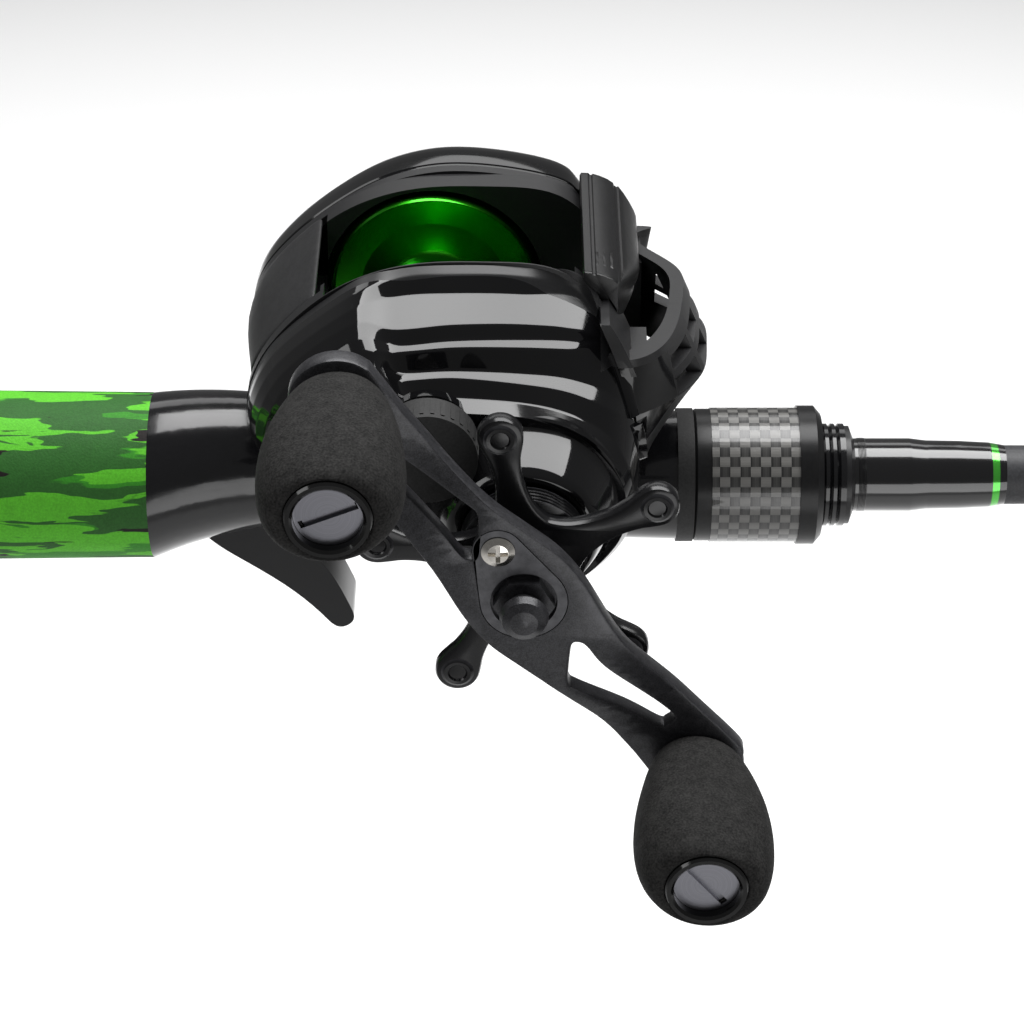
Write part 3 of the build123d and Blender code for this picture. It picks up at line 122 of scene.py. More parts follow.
def on_handle(u, v):
    """X and Z, in millimetres, of a point along and across the crank arm."""
    return (MAIN_AXIS[0] + u * math.cos(HANDLE_TURN) - v * math.sin(HANDLE_TURN),
            MAIN_AXIS[1] + u * math.sin(HANDLE_TURN) + v * math.cos(HANDLE_TURN))


# ------------------------------------------------------------------ mesh helpers
def new_object(name, points, faces, smooth_angle=35.0):
    """Mesh object from points in millimetres."""
    mesh = bpy.data.meshes.new(name)
    mesh.from_pydata([(x * MM, y * MM, z * MM) for x, y, z in points], [], [tuple(f) for f in faces])
    mesh.update()
    obj = bpy.data.objects.new(name, mesh)
    bpy.context.collection.objects.link(obj)
    tidy_mesh(obj, smooth_angle)
    return obj


def tidy_mesh(obj, smooth_angle=35.0, weld=0.002):
    """Merges doubles, points the faces outwards, and shades smooth up to an angle."""
    bm = bmesh.new()
    bm.from_mesh(obj.data)
    bmesh.ops.remove_doubles(bm, verts=bm.verts, dist=weld * MM)
    bmesh.ops.recalc_face_normals(bm, faces=bm.faces)
    bm.to_mesh(obj.data)
    bm.free()
    obj.data.shade_smooth()
    obj.data.set_sharp_from_angle(angle=math.radians(smooth_angle))


def bake_modifiers(obj, smooth_angle=35.0):
    """Applies every modifier and leaves a plain mesh."""
    bpy.context.view_layer.update()
    graph = bpy.context.evaluated_depsgraph_get()
    mesh = bpy.data.meshes.new_from_object(obj.evaluated_get(graph))
    obj.modifiers.clear()
    obj.data = mesh
    tidy_mesh(obj, smooth_angle)
    return obj


def add_bevel(obj, width, segments=2, angle=32.0):
    """Rounds the edges sharper than an angle; width in millimetres."""
    mod = obj.modifiers.new("edge rounding", "BEVEL")
    mod.width = width * MM
    mod.segments = segments
    mod.limit_method = "ANGLE"
    mod.angle_limit = math.radians(angle)
    mod.harden_normals = False


def add_wall(obj):
    """Thickens a cover's skin inwards."""
    mod = obj.modifiers.new("wall", "SOLIDIFY")
    mod.thickness = COVER_WALL * MM
    mod.offset = -1.0


def join(objects, name):
    """Joins meshes into the first one, under a new name."""
    bm = bmesh.new()
    for obj in objects:
        bm.from_mesh(obj.data)
    mesh = bpy.data.meshes.new(name)
    bm.to_mesh(mesh)
    bm.free()
    for obj in objects:
        bpy.data.objects.remove(obj)
    result = bpy.data.objects.new(name, mesh)
    bpy.context.collection.objects.link(result)
    return result


def closed_curve(points, count):
    """Periodic Catmull-Rom through the points, resampled evenly by parameter."""
    pts = np.array(points, float)
    n = len(pts)
    out = []
    for t in np.arange(count) * n / count:
        i = int(t)
        f = t - i
        p0, p1, p2, p3 = (pts[(i + k) % n] for k in (-1, 0, 1, 2))
        out.append(0.5 * ((2 * p1) + (p2 - p0) * f + (2 * p0 - 5 * p1 + 4 * p2 - p3) * f * f
                          + (3 * p1 - p0 - 3 * p2 + p3) * f ** 3))
    return np.array(out)


def open_curve(points, count):
    """Catmull-Rom through the points with its ends held."""
    pts = np.array(points, float)
    pts = np.vstack([2 * pts[0] - pts[1], pts, 2 * pts[-1] - pts[-2]])
    n = len(pts) - 3
    out = []
    for t in np.linspace(0, n, count):
        i = min(int(t), n - 1)
        f = t - i
        p0, p1, p2, p3 = pts[i:i + 4]
        out.append(0.5 * ((2 * p1) + (p2 - p0) * f + (2 * p0 - 5 * p1 + 4 * p2 - p3) * f * f
                          + (3 * p1 - p0 - 3 * p2 + p3) * f ** 3))
    return np.array(out)


def loft(name, loops, cap_first=True, cap_last=True, smooth_angle=35.0):
    """Skin through closed loops that all have the same number of points."""
    loops = [np.asarray(loop, float) for loop in loops]
    n = len(loops[0])
    points = [tuple(p) for loop in loops for p in loop]
    faces = []
    for k in range(len(loops) - 1):
        for i in range(n):
            j = (i + 1) % n
            faces.append((k * n + i, k * n + j, (k + 1) * n + j, (k + 1) * n + i))
    for wanted, start in ((cap_first, 0), (cap_last, (len(loops) - 1) * n)):
        if wanted:
            centre = np.mean(points[start:start + n], axis=0)
            points.append(tuple(centre))
            hub = len(points) - 1
            for i in range(n):
                faces.append((start + i, start + (i + 1) % n, hub))
    return new_object(name, points, faces, smooth_angle)


def turned(name, axis_point, profile, along="Y", steps=96, smooth_angle=35.0, closed=False):
    """Solid of revolution from (radius, position) pairs about an axis along X or Y."""
    px, pz = axis_point
    points, faces = [], []
    rows = len(profile)
    for radius, place in profile:
        for s in range(steps):
            a = 2 * math.pi * s / steps
            c, d = radius * math.cos(a), radius * math.sin(a)
            points.append((px + c, place, pz + d) if along == "Y" else (place, px + c, pz + d))
    last = rows if closed else rows - 1
    for r in range(last):
        for s in range(steps):
            t = (s + 1) % steps
            q = (r + 1) % rows
            faces.append((r * steps + s, r * steps + t, q * steps + t, q * steps + s))
    return new_object(name, points, faces, smooth_angle)


def circle(cx, cy, radius, count=48):
    return [(cx + radius * math.cos(2 * math.pi * k / count),
             cy + radius * math.sin(2 * math.pi * k / count))
            for k in range(count)]


def finish_piece(obj, body, material, node):
    """Gives a piece its finish, the body it moves with, and the CAD node it stands for."""
    obj.data.materials.clear()
    obj.data.materials.append(MATERIALS[material])
    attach(obj, body)
    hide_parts(node)


# ------------------------------------------------------------------ shader groups
def group_tree(name, inputs, outputs):
    """Node group with named sockets; inputs and outputs are (name, type, default) triples."""
    tree = bpy.data.node_groups.new(name, "ShaderNodeTree")
    for label, kind, default in inputs:
        socket = tree.interface.new_socket(label, in_out="INPUT", socket_type=kind)
        if default is not None:
            socket.default_value = default
    for label, kind, _ in outputs:
        tree.interface.new_socket(label, in_out="OUTPUT", socket_type=kind)
    enter = tree.nodes.new("NodeGroupInput")
    leave = tree.nodes.new("NodeGroupOutput")
    return tree, enter, leave


def link(tree, source, target):
    tree.links.new(source, target)


def maths(tree, operation, a, b=None, clamp=False):
    """Math node; a and b are sockets or numbers."""
    node = tree.nodes.new("ShaderNodeMath")
    node.operation = operation
    node.use_clamp = clamp
    for index, value in enumerate((a, b)):
        if value is None:
            continue
        if isinstance(value, (int, float)):
            node.inputs[index].default_value = value
        else:
            link(tree, value, node.inputs[index])
    return node.outputs[0]


def mix_colour(tree, share, first, second):
    """Mixed colour; each input is a socket, a number or a colour."""
    node = tree.nodes.new("ShaderNodeMix")
    node.data_type = "RGBA"
    for socket, value in ((node.inputs[0], share), (node.inputs[6], first), (node.inputs[7], second)):
        if isinstance(value, (int, float)):
            socket.default_value = value
        elif isinstance(value, (tuple, list)) or hasattr(value, "foreach_get"):
            socket.default_value = tuple(value)
        else:
            link(tree, value, socket)
    return node.outputs[2]


def separate(tree, vector):
    """Outputs X, Y and Z of a vector."""
    node = tree.nodes.new("ShaderNodeSeparateXYZ")
    link(tree, vector, node.inputs[0])
    return [node.outputs[axis] for axis in "XYZ"]


def combine(tree, **axes):
    """Vector from sockets given for X, Y or Z; the others are zero."""
    node = tree.nodes.new("ShaderNodeCombineXYZ")
    for axis, value in axes.items():
        link(tree, value, node.inputs[axis])
    return node.outputs[0]


def mapping(tree, vector, **values):
    """Vector moved, turned or scaled by a Mapping node."""
    node = tree.nodes.new("ShaderNodeMapping")
    for label, value in values.items():
        node.inputs[label].default_value = value
    link(tree, vector, node.inputs["Vector"])
    return node.outputs[0]


def distance_from_axis(tree, x, z):
    """Distance from the Y axis."""
    return maths(tree, "SQRT", maths(tree, "ADD", maths(tree, "MULTIPLY", x, x),
                                     maths(tree, "MULTIPLY", z, z)))


def noise(tree, vector, scale, detail=2.0, roughness=0.5):
    node = tree.nodes.new("ShaderNodeTexNoise")
    node.inputs["Scale"].default_value = scale
    node.inputs["Detail"].default_value = detail
    node.inputs["Roughness"].default_value = roughness
    link(tree, vector, node.inputs["Vector"])
    return node.outputs["Fac"]


def ramp(tree, value, stops):
    """Colour ramp; stops are (position, grey) pairs."""
    node = tree.nodes.new("ShaderNodeValToRGB")
    elements = node.color_ramp.elements
    while len(elements) < len(stops):
        elements.new(0.5)
    for element, (place, grey) in zip(elements, stops):
        element.position = place
        element.color = (grey, grey, grey, 1) if isinstance(grey, (int, float)) else grey
    link(tree, value, node.inputs[0])
    return node.outputs[0]


def build_grain_group():
    """Fine grain: a speckle mask and a height, for foam, satin paint and blank."""
    tree, enter, leave = group_tree(
        "Fine grain", [("Vector", "NodeSocketVector", None), ("Scale", "NodeSocketFloat", 1500.0),
                       ("Contrast", "NodeSocketFloat", 1.0)],
        [("Mask", "NodeSocketFloat", None), ("Height", "NodeSocketFloat", None)])
    fine = tree.nodes.new("ShaderNodeTexNoise")
    fine.inputs["Detail"].default_value = 3.0
    link(tree, enter.outputs["Vector"], fine.inputs["Vector"])
    link(tree, enter.outputs["Scale"], fine.inputs["Scale"])
    coarse = tree.nodes.new("ShaderNodeTexNoise")
    link(tree, enter.outputs["Vector"], coarse.inputs["Vector"])
    link(tree, maths(tree, "MULTIPLY", enter.outputs["Scale"], 0.18), coarse.inputs["Scale"])
    both = maths(tree, "ADD", maths(tree, "MULTIPLY", fine.outputs["Fac"], 0.7),
                 maths(tree, "MULTIPLY", coarse.outputs["Fac"], 0.3))
    centred = maths(tree, "MULTIPLY", maths(tree, "SUBTRACT", both, 0.5), enter.outputs["Contrast"])
    mask = maths(tree, "ADD", maths(tree, "MULTIPLY", centred, 3.0), 0.5, clamp=True)
    link(tree, mask, leave.inputs["Mask"])
    link(tree, both, leave.inputs["Height"])
    return tree


def build_handling_group():
    """Handling marks: broad smudges and thin hairline scratches, as a roughness mask."""
    tree, enter, leave = group_tree(
        "Handling marks", [("Vector", "NodeSocketVector", None), ("Amount", "NodeSocketFloat", 0.1),
                           ("Base", "NodeSocketFloat", 0.1)],
        [("Roughness", "NodeSocketFloat", None), ("Mask", "NodeSocketFloat", None)])
    smudge = noise(tree, enter.outputs["Vector"], 70.0, 3.0, 0.6)
    stretched = mapping(tree, enter.outputs["Vector"], Scale=(40.0, 900.0, 900.0),
                        Rotation=(0.3, 0.2, 0.5))
    line = noise(tree, stretched, 1.0, 1.0, 0.4)
    scratch = ramp(tree, line, [(0.66, 0.0), (0.72, 1.0)])
    broad = ramp(tree, smudge, [(0.42, 0.0), (0.72, 1.0)])
    mask = maths(tree, "ADD", maths(tree, "MULTIPLY", scratch, 0.35),
                 maths(tree, "MULTIPLY", broad, 0.65),
                 clamp=True)
    rough = maths(tree, "ADD", enter.outputs["Base"],
                  maths(tree, "MULTIPLY", mask, enter.outputs["Amount"]),
                  clamp=True)
    link(tree, rough, leave.inputs["Roughness"])
    link(tree, mask, leave.inputs["Mask"])
    return tree


def build_edge_group():
    """Worn edges: a mask that grows where the surface bends outwards."""
    tree, enter, leave = group_tree(
        "Worn edges", [("Vector", "NodeSocketVector", None), ("Reach", "NodeSocketFloat", 0.03)],
        [("Mask", "NodeSocketFloat", None)])
    geometry = tree.nodes.new("ShaderNodeNewGeometry")
    above = maths(tree, "SUBTRACT", geometry.outputs["Pointiness"], 0.56)
    share = maths(tree, "DIVIDE", above, enter.outputs["Reach"], clamp=True)
    broken = maths(tree, "MULTIPLY", share, ramp(tree, noise(tree, enter.outputs["Vector"], 420.0, 3.0),
                                                 [(0.3, 0.25), (0.65, 1.0)]), clamp=True)
    link(tree, broken, leave.inputs["Mask"])
    return tree


def build_round_rod_group():
    """Coordinates that wrap round the rod: distance along it, and arc length round it, in metres."""
    tree, enter, leave = group_tree(
        "Round the rod", [("Vector", "NodeSocketVector", None), ("Radius", "NodeSocketFloat", 0.0114)],
        [("Along", "NodeSocketFloat", None), ("Round", "NodeSocketFloat", None),
         ("Wrapped", "NodeSocketVector", None)])
    x, y, z = separate(tree, enter.outputs["Vector"])
    arc = maths(tree, "MULTIPLY", maths(tree, "ARCTAN2", y, z), enter.outputs["Radius"])
    link(tree, x, leave.inputs["Along"])
    link(tree, arc, leave.inputs["Round"])
    link(tree, combine(tree, X=x, Y=arc), leave.inputs["Wrapped"])
    return tree


# ------------------------------------------------------------------ materials
MATERIALS = {}
GROUPS = {}


def start_material(name, base, roughness, metallic=0.0, coat=0.0, coat_roughness=0.05, specular=0.5):
    """Material with a Principled shader and Object coordinates; returns tree, shader and vector."""
    material = bpy.data.materials.new(name)
    material.use_nodes = True
    tree = material.node_tree
    tree.nodes.clear()
    out = tree.nodes.new("ShaderNodeOutputMaterial")
    shader = tree.nodes.new("ShaderNodeBsdfPrincipled")
    link(tree, shader.outputs[0], out.inputs[0])
    shader.inputs["Base Color"].default_value = tuple(base)
    shader.inputs["Roughness"].default_value = roughness
    shader.inputs["Metallic"].default_value = metallic
    shader.inputs["Coat Weight"].default_value = coat
    shader.inputs["Coat Roughness"].default_value = coat_roughness
    shader.inputs["Specular IOR Level"].default_value = specular
    place = tree.nodes.new("ShaderNodeTexCoord").outputs["Object"]
    MATERIALS[name] = material
    return tree, shader, place


def add_group(tree, key, vector, **values):
    node = tree.nodes.new("ShaderNodeGroup")
    node.node_tree = GROUPS[key]
    if vector is not None:
        link(tree, vector, node.inputs["Vector"])
    for label, value in values.items():
        node.inputs[label].default_value = value
    return node


def add_bump(tree, shader, height, strength, distance):
    bump = tree.nodes.new("ShaderNodeBump")
    bump.inputs["Strength"].default_value = strength
    bump.inputs["Distance"].default_value = distance
    link(tree, height, bump.inputs["Height"])
    link(tree, bump.outputs[0], shader.inputs["Normal"])


def plain_finish(name, base, roughness, metallic=0.0, coat=0.0, grain=1500.0, tint=0.25, bump=0.05,
                 marks=0.08,
                 wear=None, specular=0.5):
    """Finish with grain in colour and relief, handling marks in gloss, and worn edges if asked."""
    tree, shader, place = start_material(name, base, roughness, metallic, coat, specular=specular)
    fine = add_group(tree, "grain", place, Scale=grain, Contrast=1.0)
    marks_node = add_group(tree, "handling", place, Amount=marks, Base=roughness)
    light = tuple(min(1.0, c * (1 + tint) + 0.002 * tint) for c in base[:3]) + (1.0,)
    dark = tuple(c * (1 - tint) for c in base[:3]) + (1.0,)
    colour = mix_colour(tree, fine.outputs["Mask"], dark, light)
    if wear:
        edge = add_group(tree, "edges", place, Reach=0.04)
        colour = mix_colour(tree, edge.outputs["Mask"], colour, wear)
    link(tree, colour, shader.inputs["Base Color"])
    link(tree, marks_node.outputs["Roughness"], shader.inputs["Roughness"])
    if bump:
        add_bump(tree, shader, fine.outputs["Height"], bump, 0.0002)
    return MATERIALS[name]


def gloss_finish(name, base, roughness, coat):
    """Moulded gloss with a satin band along the upper rims of the reel."""
    tree, shader, place = start_material(name, base, roughness, 0.0, coat, coat_roughness=0.03,
                                         specular=0.42)
    x, y, z = separate(tree, place)
    near = maths(tree, "LESS_THAN", maths(tree, "ABSOLUTE", y), RIM_BAND * MM)
    nose = maths(tree, "MULTIPLY", maths(tree, "GREATER_THAN", x, NOSE_BAND[0] * MM),
                 maths(tree, "GREATER_THAN", z, NOSE_BAND[1] * MM))
    band = maths(tree, "MAXIMUM", near, nose)
    marks = add_group(tree, "handling", place, Amount=0.07, Base=roughness)
    rough = maths(tree, "ADD", marks.outputs["Roughness"], maths(tree, "MULTIPLY", band, 0.27),
                  clamp=True)
    fine = add_group(tree, "grain", place, Scale=2600.0, Contrast=0.8)
    pale = mix_colour(tree, fine.outputs["Mask"], (0.014, 0.014, 0.015, 1), (0.02, 0.02, 0.021, 1))
    link(tree, mix_colour(tree, band, base, pale), shader.inputs["Base Color"])
    link(tree, rough, shader.inputs["Roughness"])
    link(tree, maths(tree, "MULTIPLY", maths(tree, "SUBTRACT", 1.0, band), coat),
                   shader.inputs["Coat Weight"])
    return MATERIALS[name]


def cap_finish(name, centre):
    """Knob cap: black gloss ring round a dark metal disc with concentric turning lines."""
    tree, shader, place = start_material(name, (0.01, 0.01, 0.01, 1), 0.12, specular=0.5)
    x, _, z = separate(tree, mapping(tree, place, Location=(-centre[0] * MM, 0.0, -centre[1] * MM)))
    radius = distance_from_axis(tree, x, z)
    disc = maths(tree, "LESS_THAN", radius, CAP_DISC_R * MM)
    lines = noise(tree, combine(tree, X=radius), 6000.0, 1.0, 0.5)
    steel = mix_colour(tree, lines, (0.17, 0.17, 0.19, 1), (0.3, 0.3, 0.33, 1))
    link(tree, mix_colour(tree, disc, (0.006, 0.006, 0.006, 1), steel), shader.inputs["Base Color"])
    link(tree, disc, shader.inputs["Metallic"])
    link(tree, maths(tree, "ADD", maths(tree, "MULTIPLY", disc, 0.2), 0.1), shader.inputs["Roughness"])
    return MATERIALS[name]


def camo_finish():
    """Tiger-stripe print on foam: streaks drawn out along the rod in three greens and near-black."""
    c = colours()
    tree, shader, place = start_material("camo foam", c.camo_dark, 0.62, specular=0.3)
    wrap = add_group(tree, "round", place, Radius=GRIP_R)
    stretched = mapping(tree, wrap.outputs["Wrapped"], Scale=(44.0, 270.0, 1.0),
                        Rotation=(0.0, 0.0, 0.16))
    bend = tree.nodes.new("ShaderNodeTexNoise")
    bend.inputs["Scale"].default_value = 1.7
    bend.inputs["Detail"].default_value = 2.0
    link(tree, stretched, bend.inputs["Vector"])
    shift = tree.nodes.new("ShaderNodeVectorMath")
    shift.operation = "MULTIPLY_ADD"
    shift.inputs[1].default_value = (0.9, 1.1, 0.0)
    link(tree, bend.outputs["Color"], shift.inputs[0])
    link(tree, stretched, shift.inputs[2])

    def streaks(offset, scale, low, high):
        move = tree.nodes.new("ShaderNodeVectorMath")
        move.operation = "ADD"
        move.inputs[1].default_value = offset
        link(tree, shift.outputs[0], move.inputs[0])
        return ramp(tree, noise(tree, move.outputs[0], scale, 3.0, 0.5), [(low, 0.0), (high, 1.0)])

    colour = mix_colour(tree, streaks((3.1, 7.7, 0), 0.6, 0.56, 0.568), c.camo_dark, c.camo_mid)
    colour = mix_colour(tree, streaks((11.3, 2.2, 0), 0.8, 0.5, 0.506), colour, c.camo_bright)
    colour = mix_colour(tree, streaks((23.9, 15.1, 0), 1.1, 0.62, 0.627), colour,
                        (0.012, 0.008, 0.008, 1.0))
    fine = add_group(tree, "grain", place, Scale=2600.0, Contrast=1.2)
    colour = mix_colour(tree, maths(tree, "MULTIPLY", fine.outputs["Mask"], 0.22), colour,
                        (0.0, 0.0, 0.0, 1.0))
    link(tree, colour, shader.inputs["Base Color"])
    add_bump(tree, shader, fine.outputs["Height"], 0.35, 0.0003)


def carbon_finish():
    """Clear-coated twill: over-and-under cells that step round the sleeve, each cell painted lighter
    along its rounded middle and darker towards its edges as painted highlight and painted shade.
    """
    tree, shader, place = start_material("carbon twill", (0.02, 0.02, 0.022, 1), 0.32, metallic=0.0,
                                         coat=0.7,
                                         coat_roughness=0.03)
    wrap = add_group(tree, "round", place, Radius=SLEEVE_R)
    u = maths(tree, "DIVIDE", wrap.outputs["Along"], TWILL_CELL)
    v = maths(tree, "DIVIDE", wrap.outputs["Round"], TWILL_CELL)
    fu, fv = maths(tree, "FLOOR", u), maths(tree, "FLOOR", v)
    step = maths(tree, "MODULO", maths(tree, "ADD", maths(tree, "ADD", fu, fv), 400.0), 2.0)
    over = maths(tree, "LESS_THAN", step, 1.0)
    in_u = maths(tree, "SUBTRACT", u, fu)
    in_v = maths(tree, "SUBTRACT", v, fv)
    edge_u = maths(tree, "SINE", maths(tree, "MULTIPLY", in_u, math.pi))
    edge_v = maths(tree, "SINE", maths(tree, "MULTIPLY", in_v, math.pi))
    tow_u = maths(tree, "SINE", maths(tree, "MULTIPLY", v, 40.0))
    tow_v = maths(tree, "SINE", maths(tree, "MULTIPLY", u, 40.0))
    dome = maths(tree, "ADD", maths(tree, "MULTIPLY", over, edge_v),
                 maths(tree, "MULTIPLY", maths(tree, "SUBTRACT", 1.0, over), edge_u))
    strand = maths(tree, "ADD", maths(tree, "MULTIPLY", over, tow_u),
                   maths(tree, "MULTIPLY", maths(tree, "SUBTRACT", 1.0, over), tow_v))
    # The over cells are lighter than the under cells as the weave's checker; the dome term paints each
    # cell lighter along its middle and darker at its edges, a painted highlight on the tow and painted
    # shade in the creases between tows.
    tone = maths(tree, "ADD", maths(tree, "MULTIPLY", over, 0.6), maths(tree, "MULTIPLY", dome, 0.22))
    tone = maths(tree, "ADD", tone, maths(tree, "MULTIPLY", strand, 0.06), clamp=True)
    colour = mix_colour(tree, tone, (0.004, 0.004, 0.0045, 1), (0.21, 0.206, 0.195, 1))
    link(tree, colour, shader.inputs["Base Color"])
    height = maths(tree, "ADD", dome, maths(tree, "MULTIPLY", strand, 0.15))
    add_bump(tree, shader, height, 0.3, 0.0001)


def thread_finish(name, base, accent):
    """Epoxied thread winding, painted darker in the grooves between turns and lighter on each turn's
    crown as painted shade and painted highlight, with one bright band along it if asked.
    """
    tree, shader, place = start_material(name, base, 0.16, coat=1.0, coat_roughness=0.02)
    along = separate(tree, place)[0]
    turn = maths(tree, "SINE", maths(tree, "MULTIPLY", along, 2 * math.pi / THREAD_PITCH))
    # Painted shade: the colour darkens in the grooves between turns and lightens on each crown,
    # following the same wave as the relief.
    tone = maths(tree, "ADD", maths(tree, "MULTIPLY", turn, 0.3), 0.5)
    dark = tuple(c * 0.5 for c in base[:3]) + (1,)
    colour = mix_colour(tree, tone, dark, base)
    if accent:
        away = maths(tree, "ABSOLUTE", maths(tree, "SUBTRACT", along, ACCENT_AT))
        band = maths(tree, "LESS_THAN", away, ACCENT_HALF)
        # The bright green band carries the same painted shade between its turns.
        accent_with_painted_shade = mix_colour(tree, tone, tuple(c * 0.6 for c in ACCENT_GREEN[:3]) + (1,), ACCENT_GREEN)
        colour = mix_colour(tree, band, colour, accent_with_painted_shade)
        link(tree, maths(tree, "MULTIPLY", band, 0.75), shader.inputs["Metallic"])
    link(tree, colour, shader.inputs["Base Color"])
    add_bump(tree, shader, maths(tree, "MULTIPLY", turn, 0.5), 0.12, 0.00003)


def spool_finish():
    """Green anodised aluminium with fine turning lines round the spool's axis."""
    c = colours()
    tree, shader, place = start_material("green anodised", c.spool_green, 0.2, metallic=1.0, coat=0.35,
                                         coat_roughness=0.08)
    x, y, z = separate(tree, mapping(tree, place, Location=(0.0, 0.0, -SPOOL_AXIS[1] * MM)))
    radius = distance_from_axis(tree, x, z)
    lines = noise(tree, combine(tree, X=radius, Y=maths(tree, "MULTIPLY", y, 0.4)), 5200.0, 2.0, 0.6)
    colour = mix_colour(tree, lines, tuple(v * 0.8 for v in c.spool_green[:3]) + (1,),
                        tuple(min(1, v * 1.15) for v in c.spool_green[:3]) + (1,))
    link(tree, colour, shader.inputs["Base Color"])
    marks = add_group(tree, "handling", place, Amount=0.02, Base=0.22)
    link(tree, marks.outputs["Roughness"], shader.inputs["Roughness"])
    around = tree.nodes.new("ShaderNodeTangent")
    around.direction_type = "RADIAL"
    around.axis = "Y"
    link(tree, around.outputs[0], shader.inputs["Tangent"])
    shader.inputs["Anisotropic"].default_value = 0.75
    add_bump(tree, shader, lines, 0.06, 0.00004)


def build_materials():
    GROUPS["grain"] = build_grain_group()
    GROUPS["handling"] = build_handling_group()
    GROUPS["edges"] = build_edge_group()
    GROUPS["round"] = build_round_rod_group()
    c = colours()
    black = tuple(c.gloss_black)
    gloss_finish("gloss black", black, 0.06, 0.30)
    gloss_finish("frame black", black, 0.10, 0.15)
    plain_finish("satin black", (0.01, 0.01, 0.0105, 1), 0.28, tint=0.2, bump=0.03, marks=0.1,
                 specular=0.32)
    plain_finish("thumb grey", (0.028, 0.028, 0.029, 1), 0.42, tint=0.25, bump=0.08, grain=2600.0,
                 marks=0.06,
                 specular=0.3)
    plain_finish("seat black", (0.006, 0.006, 0.007, 1), 0.13, coat=0.3, tint=0.15, bump=0.015,
                 marks=0.1)
    plain_finish("anodised black", (0.036, 0.036, 0.04, 1), 0.34, metallic=0.3, tint=0.6, bump=0.12,
                 grain=5200.0,
                 marks=0.05, wear=(0.12, 0.12, 0.13, 1))
    plain_finish("star black", (0.009, 0.009, 0.01, 1), 0.2, metallic=0.2, tint=0.3, bump=0.02,
                 grain=4200.0,
                 marks=0.06, wear=(0.1, 0.1, 0.11, 1))
    plain_finish("foam charcoal", tuple(c.foam_black), 0.85, tint=0.85, bump=0.5, grain=3000.0,
                 marks=0.02,
                 specular=0.25)
    plain_finish("rubber black", (0.016, 0.016, 0.016, 1), 0.6, tint=0.4, bump=0.2, grain=2600.0,
                 marks=0.05)
    plain_finish("graphite blank", (0.042, 0.043, 0.047, 1), 0.5, tint=0.3, bump=0.08, grain=2400.0,
                 marks=0.08)
    plain_finish("nickel", (0.72, 0.69, 0.64, 1), 0.16, metallic=1.0, tint=0.08, bump=0.03, marks=0.15)
    plain_finish("bearing steel", (0.56, 0.56, 0.57, 1), 0.24, metallic=1.0, tint=0.08, bump=0.02,
                 marks=0.12)
    plain_finish("gear brass", (0.72, 0.52, 0.2, 1), 0.28, metallic=1.0, tint=0.12, bump=0.03,
                 marks=0.12)
    plain_finish("moulded nylon", (0.72, 0.7, 0.62, 1), 0.45, tint=0.06, bump=0.05, marks=0.08)
    plain_finish("drag carbon", (0.035, 0.035, 0.036, 1), 0.6, tint=0.5, bump=0.2, marks=0.05)
    plain_finish("ceramic", (0.02, 0.02, 0.022, 1), 0.06, tint=0.1, bump=0.0, marks=0.03)
    camo_finish()
    carbon_finish()
    cap_finish("knob cap 1", on_handle(-HANDLE_HALF, 0))
    cap_finish("knob cap 2", on_handle(HANDLE_HALF, 0))
    thread_finish("fore winding", (0.006, 0.006, 0.007, 1), accent=True)
    thread_finish("guide winding", (0.008, 0.008, 0.01, 1), accent=False)
    spool_finish()


CAD_FINISHES = {
    "rod_blank": "graphite blank", "butt_cap": "rubber black", "butt_grip": "camo foam",
    "seat_grip": "camo foam",
    "grip_check_rings": "anodised black", "fore_collar": "gloss black", "fore_wrap": "fore winding",
    "guide_frames": "star black", "guide_rings": "ceramic", "guide_wraps": "guide winding",
    "tip_top": "star black",
    "reel_seat": "seat black", "reel_foot": "anodised black", "reel_frame": "frame black",
    "gear_cover": "gloss black",
    "cover_screws": "nickel", "palm_cover": "gloss black", "front_hood": "satin black",
    "shaft_bearings": "bearing steel", "yoke_posts": "bearing steel", "yoke_springs": "bearing steel",
    "roller_clutch": "bearing steel", "guide_rod": "bearing steel", "seat_hood": "seat black",
    "hood_washer": "rubber black", "lock_nut": "satin black", "carbon_sleeve": "carbon twill",
    "drive_shaft": "bearing steel", "handle_spacer": "anodised black", "handle_arm": "anodised black",
    "handle_nut": "anodised black", "nut_retainer": "anodised black", "retainer_screw": "nickel",
    "knob_spindles": "bearing steel", "ratchet": "bearing steel", "levelwind_gear": "moulded nylon",
    "clutch_sleeve": "bearing steel", "main_gear": "gear brass", "drag_washers": "drag carbon",
    "spring_washers": "bearing steel", "star_drag": "star black", "knob_1": "foam charcoal",
    "knob_2": "foam charcoal",
    "knob_cap_1": "knob cap 1", "knob_cap_2": "knob cap 2", "spool": "green anodised",
    "spool_shaft": "bearing steel", "yoke": "moulded nylon", "pinion": "gear brass",
    "thumb_bar": "thumb grey",
    "clutch_slide": "moulded nylon", "worm_shaft": "bearing steel", "worm_gear": "moulded nylon",
    "line_guide": "anodised black", "line_guide_ring": "ceramic", "pawl": "bearing steel",
    "cast_cap": "rubber black", "brake_dial": "satin black", "magnet_carrier": "moulded nylon",
    "brake_magnets": "bearing steel",
}


def finish_packed_nodes():
    for name, finish in CAD_FINISHES.items():
        mesh = NODES[name].data
        mesh.materials.clear()
        mesh.materials.append(MATERIALS[finish])


class BuildStep:
    """Shared by the operators: runs each builder of the step in turn."""
    builders = ()

    def execute(self, context):
        for build in self.builders:
            build()
        return {"FINISHED"}


class ROD_OT_finishes(BuildStep, bpy.types.Operator):
    """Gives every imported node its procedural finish"""
    bl_idname = "rod.finishes"
    bl_label = "Finish the packed nodes"
    builders = (build_materials, finish_packed_nodes)


